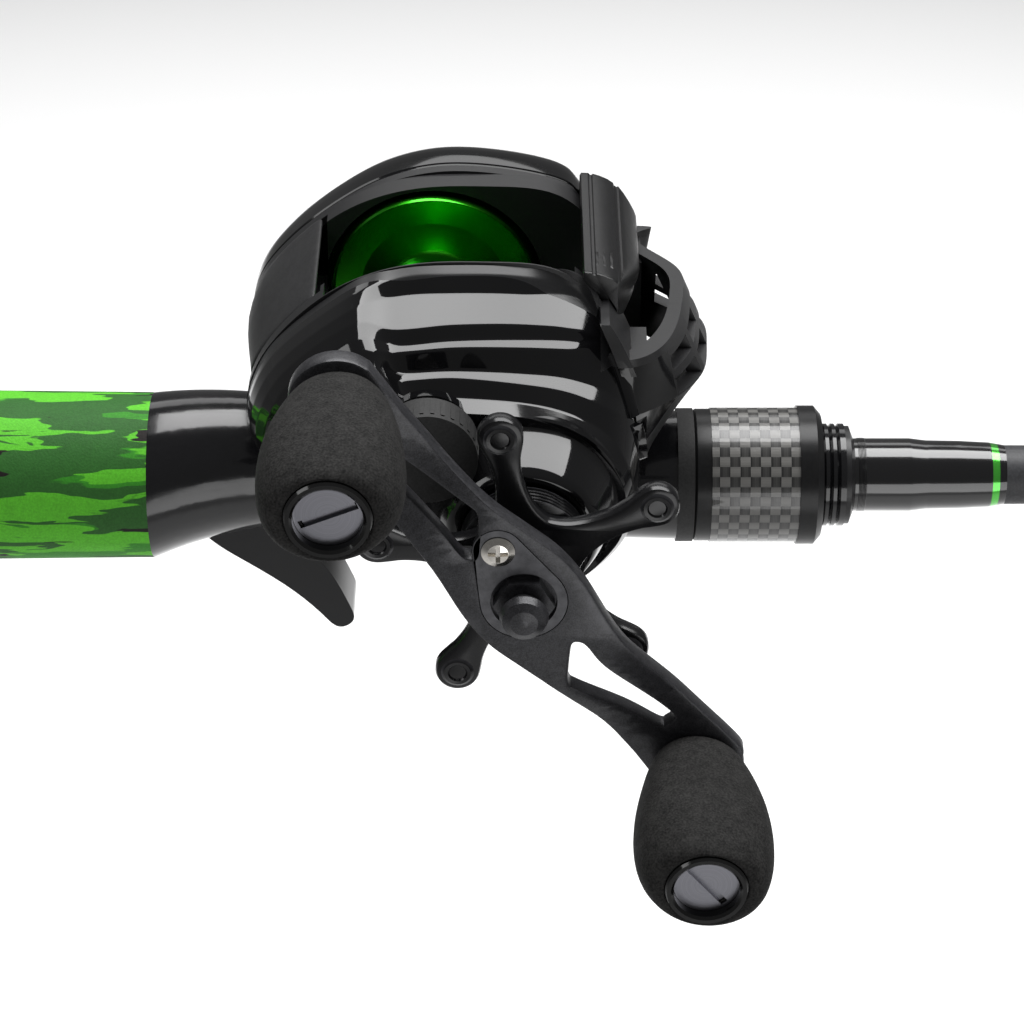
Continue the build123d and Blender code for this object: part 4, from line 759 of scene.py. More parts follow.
# ------------------------------------------------------------------ geometry nodes
def node_tree(name, inputs):
    """Geometry node tree with named inputs; returns tree, input node and output node."""
    tree = bpy.data.node_groups.new(name, "GeometryNodeTree")
    for label, kind, default in inputs:
        socket = tree.interface.new_socket(label, in_out="INPUT", socket_type=kind)
        if default is not None:
            socket.default_value = default
    tree.interface.new_socket("Geometry", in_out="OUTPUT", socket_type="NodeSocketGeometry")
    return tree, tree.nodes.new("NodeGroupInput"), tree.nodes.new("NodeGroupOutput")


def run_tree(name, tree, values, smooth_angle=35.0):
    """Runs a geometry node tree once and keeps its result as a plain mesh."""
    mesh = bpy.data.meshes.new(name + " seed")
    obj = bpy.data.objects.new(name, mesh)
    bpy.context.collection.objects.link(obj)
    modifier = obj.modifiers.new(name, "NODES")
    modifier.node_group = tree
    for item in tree.interface.items_tree:
        if item.in_out == "INPUT" and item.name in values:
            modifier[item.identifier] = values[item.name]
    return bake_modifiers(obj, smooth_angle)


def copies_to_output(tree, enter, leave, points, instance):
    """Copies an instance to points, makes the copies real and gives them the material."""
    copies = tree.nodes.new("GeometryNodeInstanceOnPoints")
    link(tree, points.outputs[0], copies.inputs["Points"])
    link(tree, instance.outputs[0], copies.inputs["Instance"])
    real = tree.nodes.new("GeometryNodeRealizeInstances")
    link(tree, copies.outputs[0], real.inputs[0])
    paint = tree.nodes.new("GeometryNodeSetMaterial")
    link(tree, real.outputs[0], paint.inputs[0])
    link(tree, enter.outputs["Material"], paint.inputs["Material"])
    link(tree, paint.outputs[0], leave.inputs[0])
    return copies


def build_rib_ring_tree():
    """Ribs stood round an axis along Y: box ribs, evenly spaced on a circle."""
    tree, enter, leave = node_tree("Rib ring", [
        ("Count", "NodeSocketInt", 30), ("Radius", "NodeSocketFloat", 0.008),
        ("Centre", "NodeSocketVector", None),
        ("Rib Size", "NodeSocketVector", None), ("Material", "NodeSocketMaterial", None)])
    make = tree.nodes.new
    ring = make("GeometryNodeMeshCircle")
    ring.fill_type = "NONE"
    link(tree, enter.outputs["Count"], ring.inputs["Vertices"])
    link(tree, enter.outputs["Radius"], ring.inputs["Radius"])
    stand = make("GeometryNodeTransform")
    stand.inputs["Rotation"].default_value = (math.pi / 2, 0, 0)
    link(tree, ring.outputs[0], stand.inputs[0])
    link(tree, enter.outputs["Centre"], stand.inputs["Translation"])
    rib = make("GeometryNodeMeshCube")
    link(tree, enter.outputs["Rib Size"], rib.inputs["Size"])
    place = make("GeometryNodeInputPosition")
    away = make("ShaderNodeVectorMath")
    away.operation = "SUBTRACT"
    link(tree, place.outputs[0], away.inputs[0])
    link(tree, enter.outputs["Centre"], away.inputs[1])
    turn = make("FunctionNodeAlignRotationToVector")
    turn.axis = "X"
    turn.pivot_axis = "Y"
    link(tree, away.outputs[0], turn.inputs["Vector"])
    copies = copies_to_output(tree, enter, leave, stand, rib)
    link(tree, turn.outputs[0], copies.inputs["Rotation"])
    return tree


def build_winding_tree():
    """Turns of round thread side by side along the rod's X axis."""
    tree, enter, leave = node_tree("Thread winding", [
        ("Turns", "NodeSocketInt", 6), ("Start", "NodeSocketFloat", 0.09),
        ("Pitch", "NodeSocketFloat", 0.0003),
        ("Radius", "NodeSocketFloat", 0.005), ("Thread Radius", "NodeSocketFloat", 0.00015),
        ("Material", "NodeSocketMaterial", None)])
    make = tree.nodes.new
    line = make("GeometryNodeMeshLine")
    link(tree, enter.outputs["Turns"], line.inputs["Count"])
    first, step = make("ShaderNodeCombineXYZ"), make("ShaderNodeCombineXYZ")
    link(tree, enter.outputs["Start"], first.inputs["X"])
    link(tree, enter.outputs["Pitch"], step.inputs["X"])
    link(tree, first.outputs[0], line.inputs["Start Location"])
    link(tree, step.outputs[0], line.inputs["Offset"])
    hoop = make("GeometryNodeCurvePrimitiveCircle")
    hoop.inputs["Resolution"].default_value = 64
    link(tree, enter.outputs["Radius"], hoop.inputs["Radius"])
    section = make("GeometryNodeCurvePrimitiveCircle")
    section.inputs["Resolution"].default_value = 8
    link(tree, enter.outputs["Thread Radius"], section.inputs["Radius"])
    cord = make("GeometryNodeCurveToMesh")
    link(tree, hoop.outputs[0], cord.inputs["Curve"])
    link(tree, section.outputs[0], cord.inputs["Profile Curve"])
    upright = make("GeometryNodeTransform")
    upright.inputs["Rotation"].default_value = (0, math.pi / 2, 0)
    link(tree, cord.outputs[0], upright.inputs[0])
    copies_to_output(tree, enter, leave, line, upright)
    return tree


# ------------------------------------------------------------------ gear-side cover
def dome(rim, lip, count=10, power=0.9):
    """Rails that bulge from the rim to the lip like a quarter of an egg."""
    rim, lip = np.array(rim, float), np.array(lip, float)
    rails = []
    for j in range(count):
        t = j / (count - 1) * math.pi / 2
        f, g = 1 - math.cos(t) ** power, math.sin(t) ** power
        rails.append(rim + np.array((f, g, f)) * (lip - rim))
    return rails


def lobe_rails(angle):
    """Rails of the round lobe that holds the main gear, at an angle round the crank axis."""
    a = math.radians(angle)
    steps = ((19.7, -15.5), (19.7, -18.0), (19.7, -20.0), (19.7, -22.5), (19.7, -24.6), (19.5, -25.6),
             (19.1, -27.6),
             (18.5, -30.5), (17.7, -33.6), (16.4, -35.8))
    return [(MAIN_AXIS[0] + r * math.cos(a), y, MAIN_AXIS[1] + r * math.sin(a)) for r, y in steps]


def cover_stations():
    """Rails of the side cover at stations round its edge: rim, band, shelf, creases, lip."""
    joint_b, joint_c, joint_low = (28.5, -20.5, 36.5), (32.4, -25.0, 26.0), (33.5, -25.0, 18.6)
    return [
        dome((-29.8, -15.5, 23.5), (-14.0, -34.0, 25.5)),
        dome((-25.4, -15.5, 34.6), (-12.0, -34.4, 32.0)),
        dome((-13.0, -15.5, 45.4), (-5.5, -35.4, 34.6)),
        [(-5, -15.5, 48.2), (-5, -17.2, 47.4), (-5, -19.0, 45.3), (-5, -25.6, 42.9),
         (-4.8, -27.0, 41.1),
         (-4.6, -28.5, 40.4), (-4.2, -29.6, 37.6), (-3.6, -31.2, 37.0), (-2.8, -32.8, 35.1),
         (-1.2, -35.8, 34.6)],
        [(4, -15.5, 48.9), (4, -17.2, 48.2), (4, -19.3, 46.0), (4, -25.6, 43.8), (4, -27.0, 42.0),
         (4, -28.6, 41.2),
         (4, -29.6, 38.0), (4, -31.2, 37.4), (4, -32.8, 35.0), (4, -36.0, 34.0)],
        [(14.5, -15.3, 48.4), (14.5, -17.0, 47.7), (14.5, -18.6, 45.5), (14.5, -24.2, 43.0),
         (14.5, -25.4, 41.2),
         (14.5, -27.1, 40.4), (14.5, -28.6, 36.9), (14.5, -30.8, 36.1), (14.5, -32.6, 33.9),
         (14.5, -36.0, 33.2)],
        [(24.0, -15.0, 46.3), (24.0, -15.5, 43.8), (24.0, -15.9, 42.9), (23.2, -21.6, 40.6),
         (22.8, -22.8, 39.3),
         (22.6, -24.3, 38.6), (22.2, -27.0, 34.9), (21.9, -29.4, 33.9), (21.4, -32.2, 31.8),
         (20.6, -36.0, 31.0)],
        [joint_b] * 6 + [(28.9, -26.2, 31.4), (28.6, -28.6, 30.2), (27.6, -31.8, 28.0),
                         (25.0, -36.0, 28.2)],
        [joint_c] * 8 + [(30.9, -33.0, 23.4), (29.4, -36.0, 22.4)],
        [joint_low] * 7 + [(33.2, -28.5, 18.4), (32.2, -33.2, 17.8), (31.0, -36.0, 17.0)],
        lobe_rails(-25), lobe_rails(-62), lobe_rails(-100), lobe_rails(-140),
        dome((-16.0, -15.5, 15.2), (-5.5, -34.6, 14.0)),
        dome((-26.3, -15.5, 17.3), (-11.5, -34.0, 18.5)),
    ]


def side_cover():
    """Fluted shell over the gear train, with its lip ring and the crank boss."""
    depth = sizes().flute_depth
    stations = cover_stations()
    per = 12
    count = len(stations) * per
    rails = [closed_curve([s[j] for s in stations], count) for j in range(10)]
    smooth = []
    for j in range(10):
        flat = rails[0] + (rails[9] - rails[0]) * (j / 9)
        smooth.append(rails[j] if depth == 1.0 else flat + (rails[j] - flat) * depth)
    rows = [smooth[0]]
    for j in range(1, 10):
        before = smooth[j] - smooth[j - 1]
        reach = np.maximum(np.linalg.norm(before, axis=1, keepdims=True), 1e-6)
        rows.append(smooth[j - 1] + before * 0.5)
        rows += [smooth[j] - before * np.minimum(0.34, d / reach) for d in (0.42, 0.14)]
        if j < 9:
            after = smooth[j + 1] - smooth[j]
            reach = np.maximum(np.linalg.norm(after, axis=1, keepdims=True), 1e-6)
            rows += [smooth[j] + after * np.minimum(0.34, d / reach) for d in (0.14, 0.42)]
    lip = smooth[9]
    centre = np.array([MAIN_AXIS[0], 0.0, MAIN_AXIS[1]])
    flow = lip - centre
    flow[:, 1] = 0
    length = np.linalg.norm(flow, axis=1, keepdims=True)
    inner = lip - flow / length * 1.3
    inner_low = inner.copy()
    inner_low[:, 1] = BORE_FLOOR
    inner[:, 1] = lip[:, 1] + 0.1
    hub = centre + flow / length * BORE_R
    hub[:, 1] = BORE_FLOOR
    middle = (inner_low + hub) / 2
    rows += [inner, inner_low, middle, hub]
    shell = loft("side cover skin", rows, cap_first=False, cap_last=False, smooth_angle=60.0)
    add_wall(shell)
    bake_modifiers(shell, 55)
    boss = turned("crank boss", MAIN_AXIS, [
        (7.7, -33.4), (16.3, -33.6), (16.5, -35.2), (16.2, -35.7), (15.4, -35.4), (14.9, -36.0),
        (14.2, -37.6),
        (13.2, -40.2), (12.2, -42.6), (11.5, -44.1), (11.0, -44.4), (10.2, -44.4), (9.6, -44.0),
        (7.7, -43.9)], closed=True)
    neck = turned("cap neck", SPOOL_AXIS, [
        (1.7, -33.6), (6.9, -33.6), (6.9, -35.4), (6.2, -35.7), (6.2, -41.2), (5.1, -41.2),
        (5.1, -37.0), (1.7, -37.0)],
        closed=True)
    back = turned("gear room back", MAIN_AXIS, [(13.2, -15.3), (19.4, -15.3), (19.4, -16.4),
                                                (13.2, -16.4)], closed=True)
    piece = join([shell, boss, neck, back], "side_cover")
    tidy_mesh(piece, 38, 0.0005)
    finish_piece(piece, "rod", "gloss black", "gear_cover")


class ROD_OT_side_cover(BuildStep, bpy.types.Operator):
    """Builds the fluted cover over the gear train"""
    bl_idname = "rod.side_cover"
    bl_label = "Gear-side cover"
    builders = (side_cover,)


# ------------------------------------------------------------------ palm-side cover
PALM_OUTLINE = (
    (-31.2, 21.3), (-29.4, 29.1), (-24.0, 36.2), (-16.1, 42.8), (-8.0, 47.4), (1.0, 49.6), (11.0, 49.2),
    (21.0, 46.9),
    (24.8, 43.4), (28.6, 36.8), (31.6, 29.0), (33.0, 21.0), (31.8, 14.6), (25.5, 10.6), (10.0, 9.6),
    (-10.0, 9.8),
    (-24.0, 10.6), (-30.0, 13.6))
JOINT_LINE = ((6.0, 27.0), (12.0, 32.0), (18.6, 33.4), (26.1, 32.6), (32.6, 30.4), (38.1, 28.4),
              (43.6, 26.2),
              (48.0, 24.4), (52.0, 23.4))


def palm_side_cover():
    """Smooth palm plate with a fine groove below its rim and the brake dial's well."""
    outline = closed_curve(PALM_OUTLINE, 180)
    limit = np.interp(outline[:, 1], [z for z, _ in JOINT_LINE], [x for _, x in JOINT_LINE])
    outline[:, 0] = np.minimum(outline[:, 0], limit - 0.2)
    centre = np.array([2.5, 29.0])
    rows = []
    for y, scale in ((15.3, 1.0), (17.6, 1.0), (17.8, 0.99), (18.3, 0.99), (18.5, 1.0), (21.0, 1.0),
                     (23.0, 0.995),
                     (24.6, 0.982), (26.0, 0.958), (27.2, 0.92), (28.2, 0.865), (28.9, 0.79),
                     (29.3, 0.70), (29.4, 0.62)):
        flat = centre + (outline - centre) * scale
        rows.append(np.column_stack([flat[:, 0], np.full(len(flat), y), flat[:, 1]]))
    away = outline - np.array(SPOOL_AXIS)
    away = away / np.linalg.norm(away, axis=1, keepdims=True)
    for y, radius in ((29.4, 11.4), (29.1, 10.9), (25.1, 10.9), (25.1, 2.8)):
        ring = np.array(SPOOL_AXIS) + away * radius
        rows.append(np.column_stack([ring[:, 0], np.full(len(ring), y), ring[:, 1]]))
    shell = loft("palm_side_cover", rows, cap_first=False, cap_last=False, smooth_angle=28)
    add_wall(shell)
    bake_modifiers(shell, 28)
    finish_piece(shell, "rod", "gloss black", "palm_cover")


class ROD_OT_palm_cover(BuildStep, bpy.types.Operator):
    """Builds the palm-side cover"""
    bl_idname = "rod.palm_cover"
    bl_label = "Palm-side cover"
    builders = (palm_side_cover,)


# ------------------------------------------------------------------ front hood and thumb bar
def front_roof():
    """Roof over the line guide: rounded section, two fine grooves, a chamfered near corner."""
    outer = [(24.25, 43.7), (24.25, 46.9), (24.5, 47.35), (25.6, 47.3), (25.8, 46.95), (26.2, 46.9),
             (26.4, 47.15),
             (27.6, 46.75), (28.9, 46.15), (29.9, 45.4), (30.05, 44.95), (30.5, 44.6), (30.8, 44.75),
             (31.7, 43.5),
             (32.7, 41.8), (33.5, 40.2), (33.85, 39.2), (33.6, 38.5), (32.4, 37.6), (32.0, 37.8)]
    inner = [(31.2, 39.0), (30.2, 40.6), (28.9, 41.7), (27.4, 42.5), (25.8, 43.2)]
    section = np.array(outer + inner)
    loops = []
    for y in (-15.1, -14.9, -14.2, -13, -11, -9, -7, -5, -3, -1, 1, 3, 6, 9, 12, 15, 17.5, 19.0, 19.4,
              19.6):
        limit = 29.5 + (y + 16.0) * 5.0 / 19.0
        flat = section.copy()
        over = flat[:, 0] > limit
        flat[over, 0] = limit + (flat[over, 0] - limit) * 0.04
        shrink = 0.97 if y in (-15.1, 19.6) else 0.995 if y in (-14.9, 19.4) else 1.0
        middle = flat.mean(axis=0)
        flat = middle + (flat - middle) * shrink
        loops.append(np.column_stack([flat[:, 0], np.full(len(flat), y), flat[:, 1]]))
    roof = loft("roof", loops, smooth_angle=30)
    parts = [roof]
    for k in range(3):
        x = 26.6 + 1.15 * k
        z = 46.95 - 0.42 * k
        y0 = -12.6 + 0.5 * k
        bar = loft("ridge", [
            [(x - 0.26, y, z - 0.3), (x + 0.26, y, z - 0.45), (x + 0.2, y, z + lift - 0.1),
             (x - 0.2, y, z + lift)]
            for y, lift in ((y0, 0.0), (y0 + 0.6, 0.26), (y0 + 4.6, 0.26), (y0 + 5.6, 0.0))],
            smooth_angle=40)
        parts.append(bar)
    piece = join(parts, "front_roof")
    add_bevel(piece, 0.12, 2, 35)
    bake_modifiers(piece, 30)
    finish_piece(piece, "rod", "satin black", "front_hood")


def thumb_rest():
    """Thumb bar: a full, rounded pad that swells towards the palm side."""
    section = closed_curve([(-18.7, 41.4), (-22.9, 37.8), (-27.4, 32.2), (-29.4, 27.6), (-28.2, 25.2),
                            (-24.2, 24.6),
                            (-21.2, 27.2), (-20.3, 33.0), (-19.2, 38.0)], 90)
    inside = np.array([(x, z) for x, z in section])
    away = inside - np.array(SPOOL_AXIS)
    reach = np.linalg.norm(away, axis=1, keepdims=True)
    inside = np.array(SPOOL_AXIS) + away / reach * np.maximum(reach, 19.3)
    middle = np.array([-24.4, 30.5])
    loops = []
    for y, scale, push in ((-12.3, 0.9, 0.0), (-12.1, 0.965, 0.0), (-11.4, 0.99, 0.0), (-9.0, 1.0, 0.2),
                           (-5.0, 1.0, 0.7),
                           (0.0, 1.0, 1.2), (5.0, 1.0, 1.4), (9.0, 1.0, 1.2), (12.5, 1.0, 0.8),
                           (14.0, 0.99, 0.6),
                           (14.7, 0.965, 0.5), (14.9, 0.9, 0.5)):
        flat = middle + (inside - middle) * scale
        rear = np.clip((-21.5 - flat[:, 0]) / 6.0, 0, 1)
        flat = flat + np.column_stack([-push * rear, np.zeros(len(flat))])
        loops.append(np.column_stack([flat[:, 0], np.full(len(flat), y), flat[:, 1]]))
    pad = loft("pad", loops, smooth_angle=50)
    low, high = (-24.2, -16.4, 24.4), (-20.2, -11.8, 31.1)
    tab = loft("tab", [[(low[0], y, low[2]), (high[0], y, low[2]), (high[0], y, high[2]),
                        (low[0], y, high[2])]
                       for y in (-15.7, -11.8)])
    piece = join([pad, tab], "thumb_rest")
    tidy_mesh(piece, 50, 0.0005)
    finish_piece(piece, "thumb", "thumb grey", "thumb_bar")


def spool_body():
    """Spool: coned and polished flange lips, smooth webs, arbor with six drilled holes."""
    body = turned("spool_body", SPOOL_AXIS, [
        (1.26, -12.05), (4.4, -12.05), (5.0, -11.25), (15.3, -11.6), (15.4, -12.05), (16.05, -12.05),
        (16.15, -11.9),
        (16.1, -11.2), (15.6, -10.98), (9.2, -10.75), (8.2, -10.5), (7.45, -9.9), (7.2, -9.0),
        (7.2, 7.9), (7.33, 8.5),
        (7.6, 9.2), (7.95, 9.8), (8.3, 9.95), (8.45, 10.8), (9.2, 10.9), (16.5, 10.95), (16.75, 10.7),
        (16.85, 10.0),
        (17.1, 9.8), (17.9, 11.7), (17.95, 11.9), (17.9, 12.06), (17.3, 12.06),
        (17.2, 11.6), (13.2, 11.2), (6.8, 9.4), (5.9, 8.0), (5.9, 4.0), (3.0, 4.0), (3.0, 10.0),
        (1.26, 10.0)],
        closed=True, steps=144)
    cutters = []
    for n in range(6):
        turn = math.radians(60 * n)
        rim = circle(0.0, 6.3, 1.1, 24)
        cutters.append(loft("drill", [
            [(u * math.cos(turn) + h * math.sin(turn) + SPOOL_AXIS[0], v,
              h * math.cos(turn) - u * math.sin(turn)
              + SPOOL_AXIS[1]) for u, v in rim] for h in (4.6, 9.5)]))
    cutter = join(cutters, "drills")
    cut = body.modifiers.new("holes", "BOOLEAN")
    cut.operation = "DIFFERENCE"
    cut.solver = "EXACT"
    cut.object = cutter
    bake_modifiers(body, 32)
    bpy.data.objects.remove(cutter)
    finish_piece(body, "spool", "green anodised", "spool")


class ROD_OT_spool(BuildStep, bpy.types.Operator):
    """Builds the anodised spool"""
    bl_idname = "rod.spool"
    bl_label = "Spool"
    builders = (spool_body,)


class ROD_OT_top(BuildStep, bpy.types.Operator):
    """Builds the roof over the line guide and the thumb bar"""
    bl_idname = "rod.roof_and_thumb"
    bl_label = "Front roof and thumb bar"
    builders = (front_roof, thumb_rest)


# ------------------------------------------------------------------ plates cut from outlines
def cut_plate(name, outer, holes, far, near, edge, recess=None, recess_hole=None, floor=None):
    """Plate between Y = far (outside) and near, with broken edges and an optional outside recess."""
    points, faces = [], []

    def ring(outline, y):
        start = len(points)
        points.extend((x, y, z) for x, z in outline)
        return list(range(start, start + len(outline)))

    def inset(outline, amount):
        pts = np.array(outline, float)
        ahead, behind = np.roll(pts, -1, axis=0), np.roll(pts, 1, axis=0)
        tangent = ahead - behind
        tangent /= np.linalg.norm(tangent, axis=1, keepdims=True)
        area = 0.5 * np.sum(pts[:, 0] * ahead[:, 1] - ahead[:, 0] * pts[:, 1])
        normal = np.column_stack([-tangent[:, 1], tangent[:, 0]]) * (1 if area > 0 else -1)
        return pts + normal * amount

    def wall(rings):
        for a, b in zip(rings[:-1], rings[1:]):
            n = len(a)
            for i in range(n):
                faces.append((a[i], a[(i + 1) % n], b[(i + 1) % n], b[i]))

    def cap(rings):
        flat = [[Vector((points[i][0], points[i][2], 0)) for i in r] for r in rings]
        order = [i for r in rings for i in r]
        for a, b, c in tessellate_polygon(flat):
            faces.append((order[a], order[b], order[c]))

    low_rings, high_rings = [], []
    for k, outline in enumerate([outer] + list(holes)):
        grow = edge if k == 0 else -edge
        rings = [ring(inset(outline, grow * share), y) for share, y in (
            (1.0, far), (0.3, far + edge * 0.3), (0.0, far + edge),
            (0.0, near - edge), (0.3, near - edge * 0.3), (1.0, near))]
        wall(rings)
        low_rings.append(rings[0])
        high_rings.append(rings[-1])
    if recess is not None:
        top = ring(recess, far)
        bottom = ring(recess, floor)
        hole_top = ring(recess_hole, floor)
        hole_bottom = ring(recess_hole, near)
        wall([top, bottom])
        wall([hole_top, hole_bottom])
        cap([bottom, hole_top])
        low_rings.append(top)
        high_rings.append(hole_bottom)
    cap(low_rings)
    cap(high_rings)
    return new_object(name, points, faces, 30)


def handle_plate():
    """Crank arm: waisted plate with a slot each way, a teardrop recess, and ends stepped back."""
    upper = [(-35.0, 6.3), (-26.7, 6.0), (-20.3, 6.4), (-14.8, 7.1), (-8.7, 8.3), (-2.8, 9.3),
             (3.5, 9.0), (14.4, 6.9),
             (24.4, 6.6), (33.9, 6.9)]
    ends = [(HANDLE_HALF + 7.4 * math.cos(math.radians(a)), 7.4 * math.sin(math.radians(a)))
            for a in range(80, -81, -20)]
    half = upper + ends
    run = open_curve(half, 90)
    outline = [on_handle(u, v) for u, v in run] + [on_handle(-u, -v) for u, v in run]
    slot = closed_curve([(10.9, 0.6), (11.5, 1.7), (13.0, 1.95), (17.5, 1.6), (25.7, 2.2), (32.6, 3.0),
                         (33.7, 2.5),
                         (33.9, 0.9), (33.1, -0.1), (25.7, -2.2), (18.2, -4.3), (16.6, -4.5),
                         (15.2, -3.7),
                         (12.6, -1.3)], 80)
    slots = [[on_handle(s * u, s * v) for u, v in slot] for s in (1, -1)]
    far, near = -62.0, -58.6
    big, small = 6.75, 3.85
    sx, sz = MAIN_AXIS[0] - 3.9, MAIN_AXIS[1] + 9.1
    heading = math.atan2(sz - MAIN_AXIS[1], sx - MAIN_AXIS[0])
    lean = math.acos((big - small) / math.hypot(sx - MAIN_AXIS[0], sz - MAIN_AXIS[1]))
    drop = []
    for k in range(40):
        a = heading + lean + (2 * math.pi - 2 * lean) * k / 39
        drop.append((MAIN_AXIS[0] + big * math.cos(a), MAIN_AXIS[1] + big * math.sin(a)))
    for k in range(20):
        a = heading - lean + 2 * lean * k / 19
        drop.append((sx + small * math.cos(a), sz + small * math.sin(a)))
    plate = cut_plate("handle_plate", outline, slots, far, near, sizes().edge_round / MM, drop,
                      circle(MAIN_AXIS[0], MAIN_AXIS[1], 2.45, 40), -61.0)
    bm = bmesh.new()
    bm.from_mesh(plate.data)
    along = Vector((math.cos(HANDLE_TURN), 0, math.sin(HANDLE_TURN)))
    origin = Vector((MAIN_AXIS[0], 0, MAIN_AXIS[1])) * MM
    for u in [s * k for k in (14, 16, 18, 20, 22.5, 25, 27, 29, 31) for s in (1, -1)]:
        bmesh.ops.bisect_plane(bm, geom=bm.verts[:] + bm.edges[:] + bm.faces[:],
                               plane_co=origin + along * u * MM, plane_no=along, dist=1e-7)
    step_from, step_over, step_back = 14.0, 17.0, 3.0
    for vert in bm.verts:
        u = abs((vert.co - origin).dot(along)) / MM
        t = min(max((u - step_from) / step_over, 0.0), 1.0)
        vert.co.y += step_back * (3 * t * t - 2 * t ** 3) * MM
    bm.to_mesh(plate.data)
    bm.free()
    tidy_mesh(plate, 30, 0.0005)
    finish_piece(plate, "crank", "anodised black", "handle_arm")


def star_wheel():
    """Five-armed drag star with eyelet tips and a ribbed skirt."""
    outline = []
    reach, tip = 22.8, 3.5
    turns = [math.radians(STAR_TURN + 360 / STAR_ARMS * n) for n in range(STAR_ARMS)]
    for turn in turns:
        side = [(7.6, -4.6), (9.6, -3.3), (12.6, -2.45), (15.8, -2.15), (18.6, -2.45), (20.3, -2.95)]
        arc = [(reach + tip * math.cos(math.radians(a)),
                tip * math.sin(math.radians(a))) for a in range(-100, 101, 25)]
        arm = side + arc + [(u, -v) for u, v in reversed(side)]
        for u, v in arm:
            outline.append((MAIN_AXIS[0] + u * math.cos(turn) - v * math.sin(turn),
                            MAIN_AXIS[1] + u * math.sin(turn) + v * math.cos(turn)))
    outline = [tuple(p) for p in closed_curve(outline, 360)]
    plate = cut_plate("star plate", outline, [circle(MAIN_AXIS[0], MAIN_AXIS[1], 2.6, 48)], -52.0,
                      -49.0, 0.75)
    parts = [plate]
    for turn in turns:
        place = (MAIN_AXIS[0] + reach * math.cos(turn), MAIN_AXIS[1] + reach * math.sin(turn))
        parts.append(turned("eyelet", place, [
            (0.01, -51.6), (1.15, -51.55), (1.3, -52.0), (1.55, -52.3), (2.1, -52.35), (2.6, -52.0),
            (2.7, -51.3),
            (0.01, -51.0)], steps=32, closed=True))
    profile = [(6.1, -44.85), (9.5, -44.85), (9.9, -45.2)]
    for n in range(4):
        y = -45.5 - 0.9 * n
        profile += [(9.9, y), (9.5, y - 0.15), (9.5, y - 0.35), (9.9, y - 0.5)]
    profile += [(9.9, -48.9), (8.6, -49.3), (6.9, -50.2), (6.1, -50.2)]
    parts.append(turned("skirt", MAIN_AXIS, profile, closed=True))
    piece = join(parts, "star_wheel")
    tidy_mesh(piece, 32, 0.0005)
    finish_piece(piece, "star", "star black", "star_drag")


class ROD_OT_crank(BuildStep, bpy.types.Operator):
    """Builds the crank arm and the drag star"""
    bl_idname = "rod.crank_and_star"
    bl_label = "Crank arm and drag star"
    builders = (handle_plate, star_wheel)


# ------------------------------------------------------------------ knobs
def paddle(name, node, way, turn_degrees, body):
    """Foam paddle knob: squarish oval sections that swell, then tuck in to the cap."""
    x0, z0 = on_handle(way * HANDLE_HALF, 0)
    start, length = -59.0, 31.0
    end = start - length
    wide, thick = sizes().knob_half_width / MM, sizes().knob_half_depth / MM
    turn = math.radians(turn_degrees)

    def section(half_wide, half_thick, y, power=2.0):
        ring = []
        for k in range(KNOB_SIDES):
            a = 2 * math.pi * k / KNOB_SIDES
            c, d = math.cos(a), math.sin(a)
            u = half_wide * math.copysign(abs(c) ** (2 / power), c)
            v = half_thick * math.copysign(abs(d) ** (2 / power), d)
            ring.append((x0 + v * math.cos(turn) + u * math.sin(turn), y,
                         z0 - v * math.sin(turn) + u * math.cos(turn)))
        return ring

    # Share of the length, then of the half width and of the half thickness.
    stations = ((0.0, 0.55, 0.60), (0.012, 0.60, 0.66), (0.05, 0.68, 0.74), (0.15, 0.78, 0.82),
                (0.3, 0.88, 0.91), (0.45, 0.955, 0.97), (0.6, 0.995, 1.0), (0.72, 1.0, 1.0),
                (0.82, 0.98, 0.98), (0.9, 0.93, 0.945), (0.955, 0.86, 0.89), (0.985, 0.79, 0.84),
                (1.0, 0.70, 0.79))
    loops = [section(wide * w, thick * t, start - length * s,
                     2.0 + 0.5 * math.sin(math.pi * min(max(s, 0), 1)))
             for s, w, t in open_curve(stations, 60)]
    well = ((6.75, end), (6.4, end + 0.1), (6.35, end + 1.65), (4.1, end + 1.65), (4.05, end + 4.6),
            (2.1, end + 4.6), (2.1, start))
    loops += [section(radius, radius, y) for radius, y in well]
    loops.append(loops[0])
    piece = loft(name, loops, cap_first=False, cap_last=False, smooth_angle=40)
    finish_piece(piece, body, "foam charcoal", node)


def both_knobs():
    paddle("foam_knob_1", "knob_1", -1, 84.0, "knob_one")
    paddle("foam_knob_2", "knob_2", 1, 104.0, "knob_two")


class ROD_OT_knobs(BuildStep, bpy.types.Operator):
    """Builds both foam paddle knobs"""
    bl_idname = "rod.knobs"
    bl_label = "Paddle knobs"
    builders = (both_knobs,)


# ------------------------------------------------------------------ ribs and windings
def cap_ribs():
    """Ribs that stand round the cast control cap."""
    cap = run_tree("cast_cap_ribs", build_rib_ring_tree(), {
        "Count": sizes().cap_ribs, "Radius": 7.72 * MM, "Centre": (0.0, -40.2 * MM, SPOOL_AXIS[1] * MM),
        "Rib Size": (0.3 * MM, 3.9 * MM, 0.7 * MM), "Material": MATERIALS["rubber black"]})
    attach(cap, "cast_cap")


def windings():
    """Raised turns of thread in two bands at the front of the seat."""
    winding = build_winding_tree()
    for name, start, radius in (("butt_side_winding", 71.4, 6.18), ("fore_winding_end", 94.0, 5.12)):
        band = run_tree(name, winding, {
            "Turns": sizes().wrap_turns, "Start": start * MM, "Pitch": 0.22 * MM, "Radius": radius * MM,
            "Thread Radius": 0.13 * MM, "Material": MATERIALS["fore winding"]}, 60)
        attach(band, "rod")


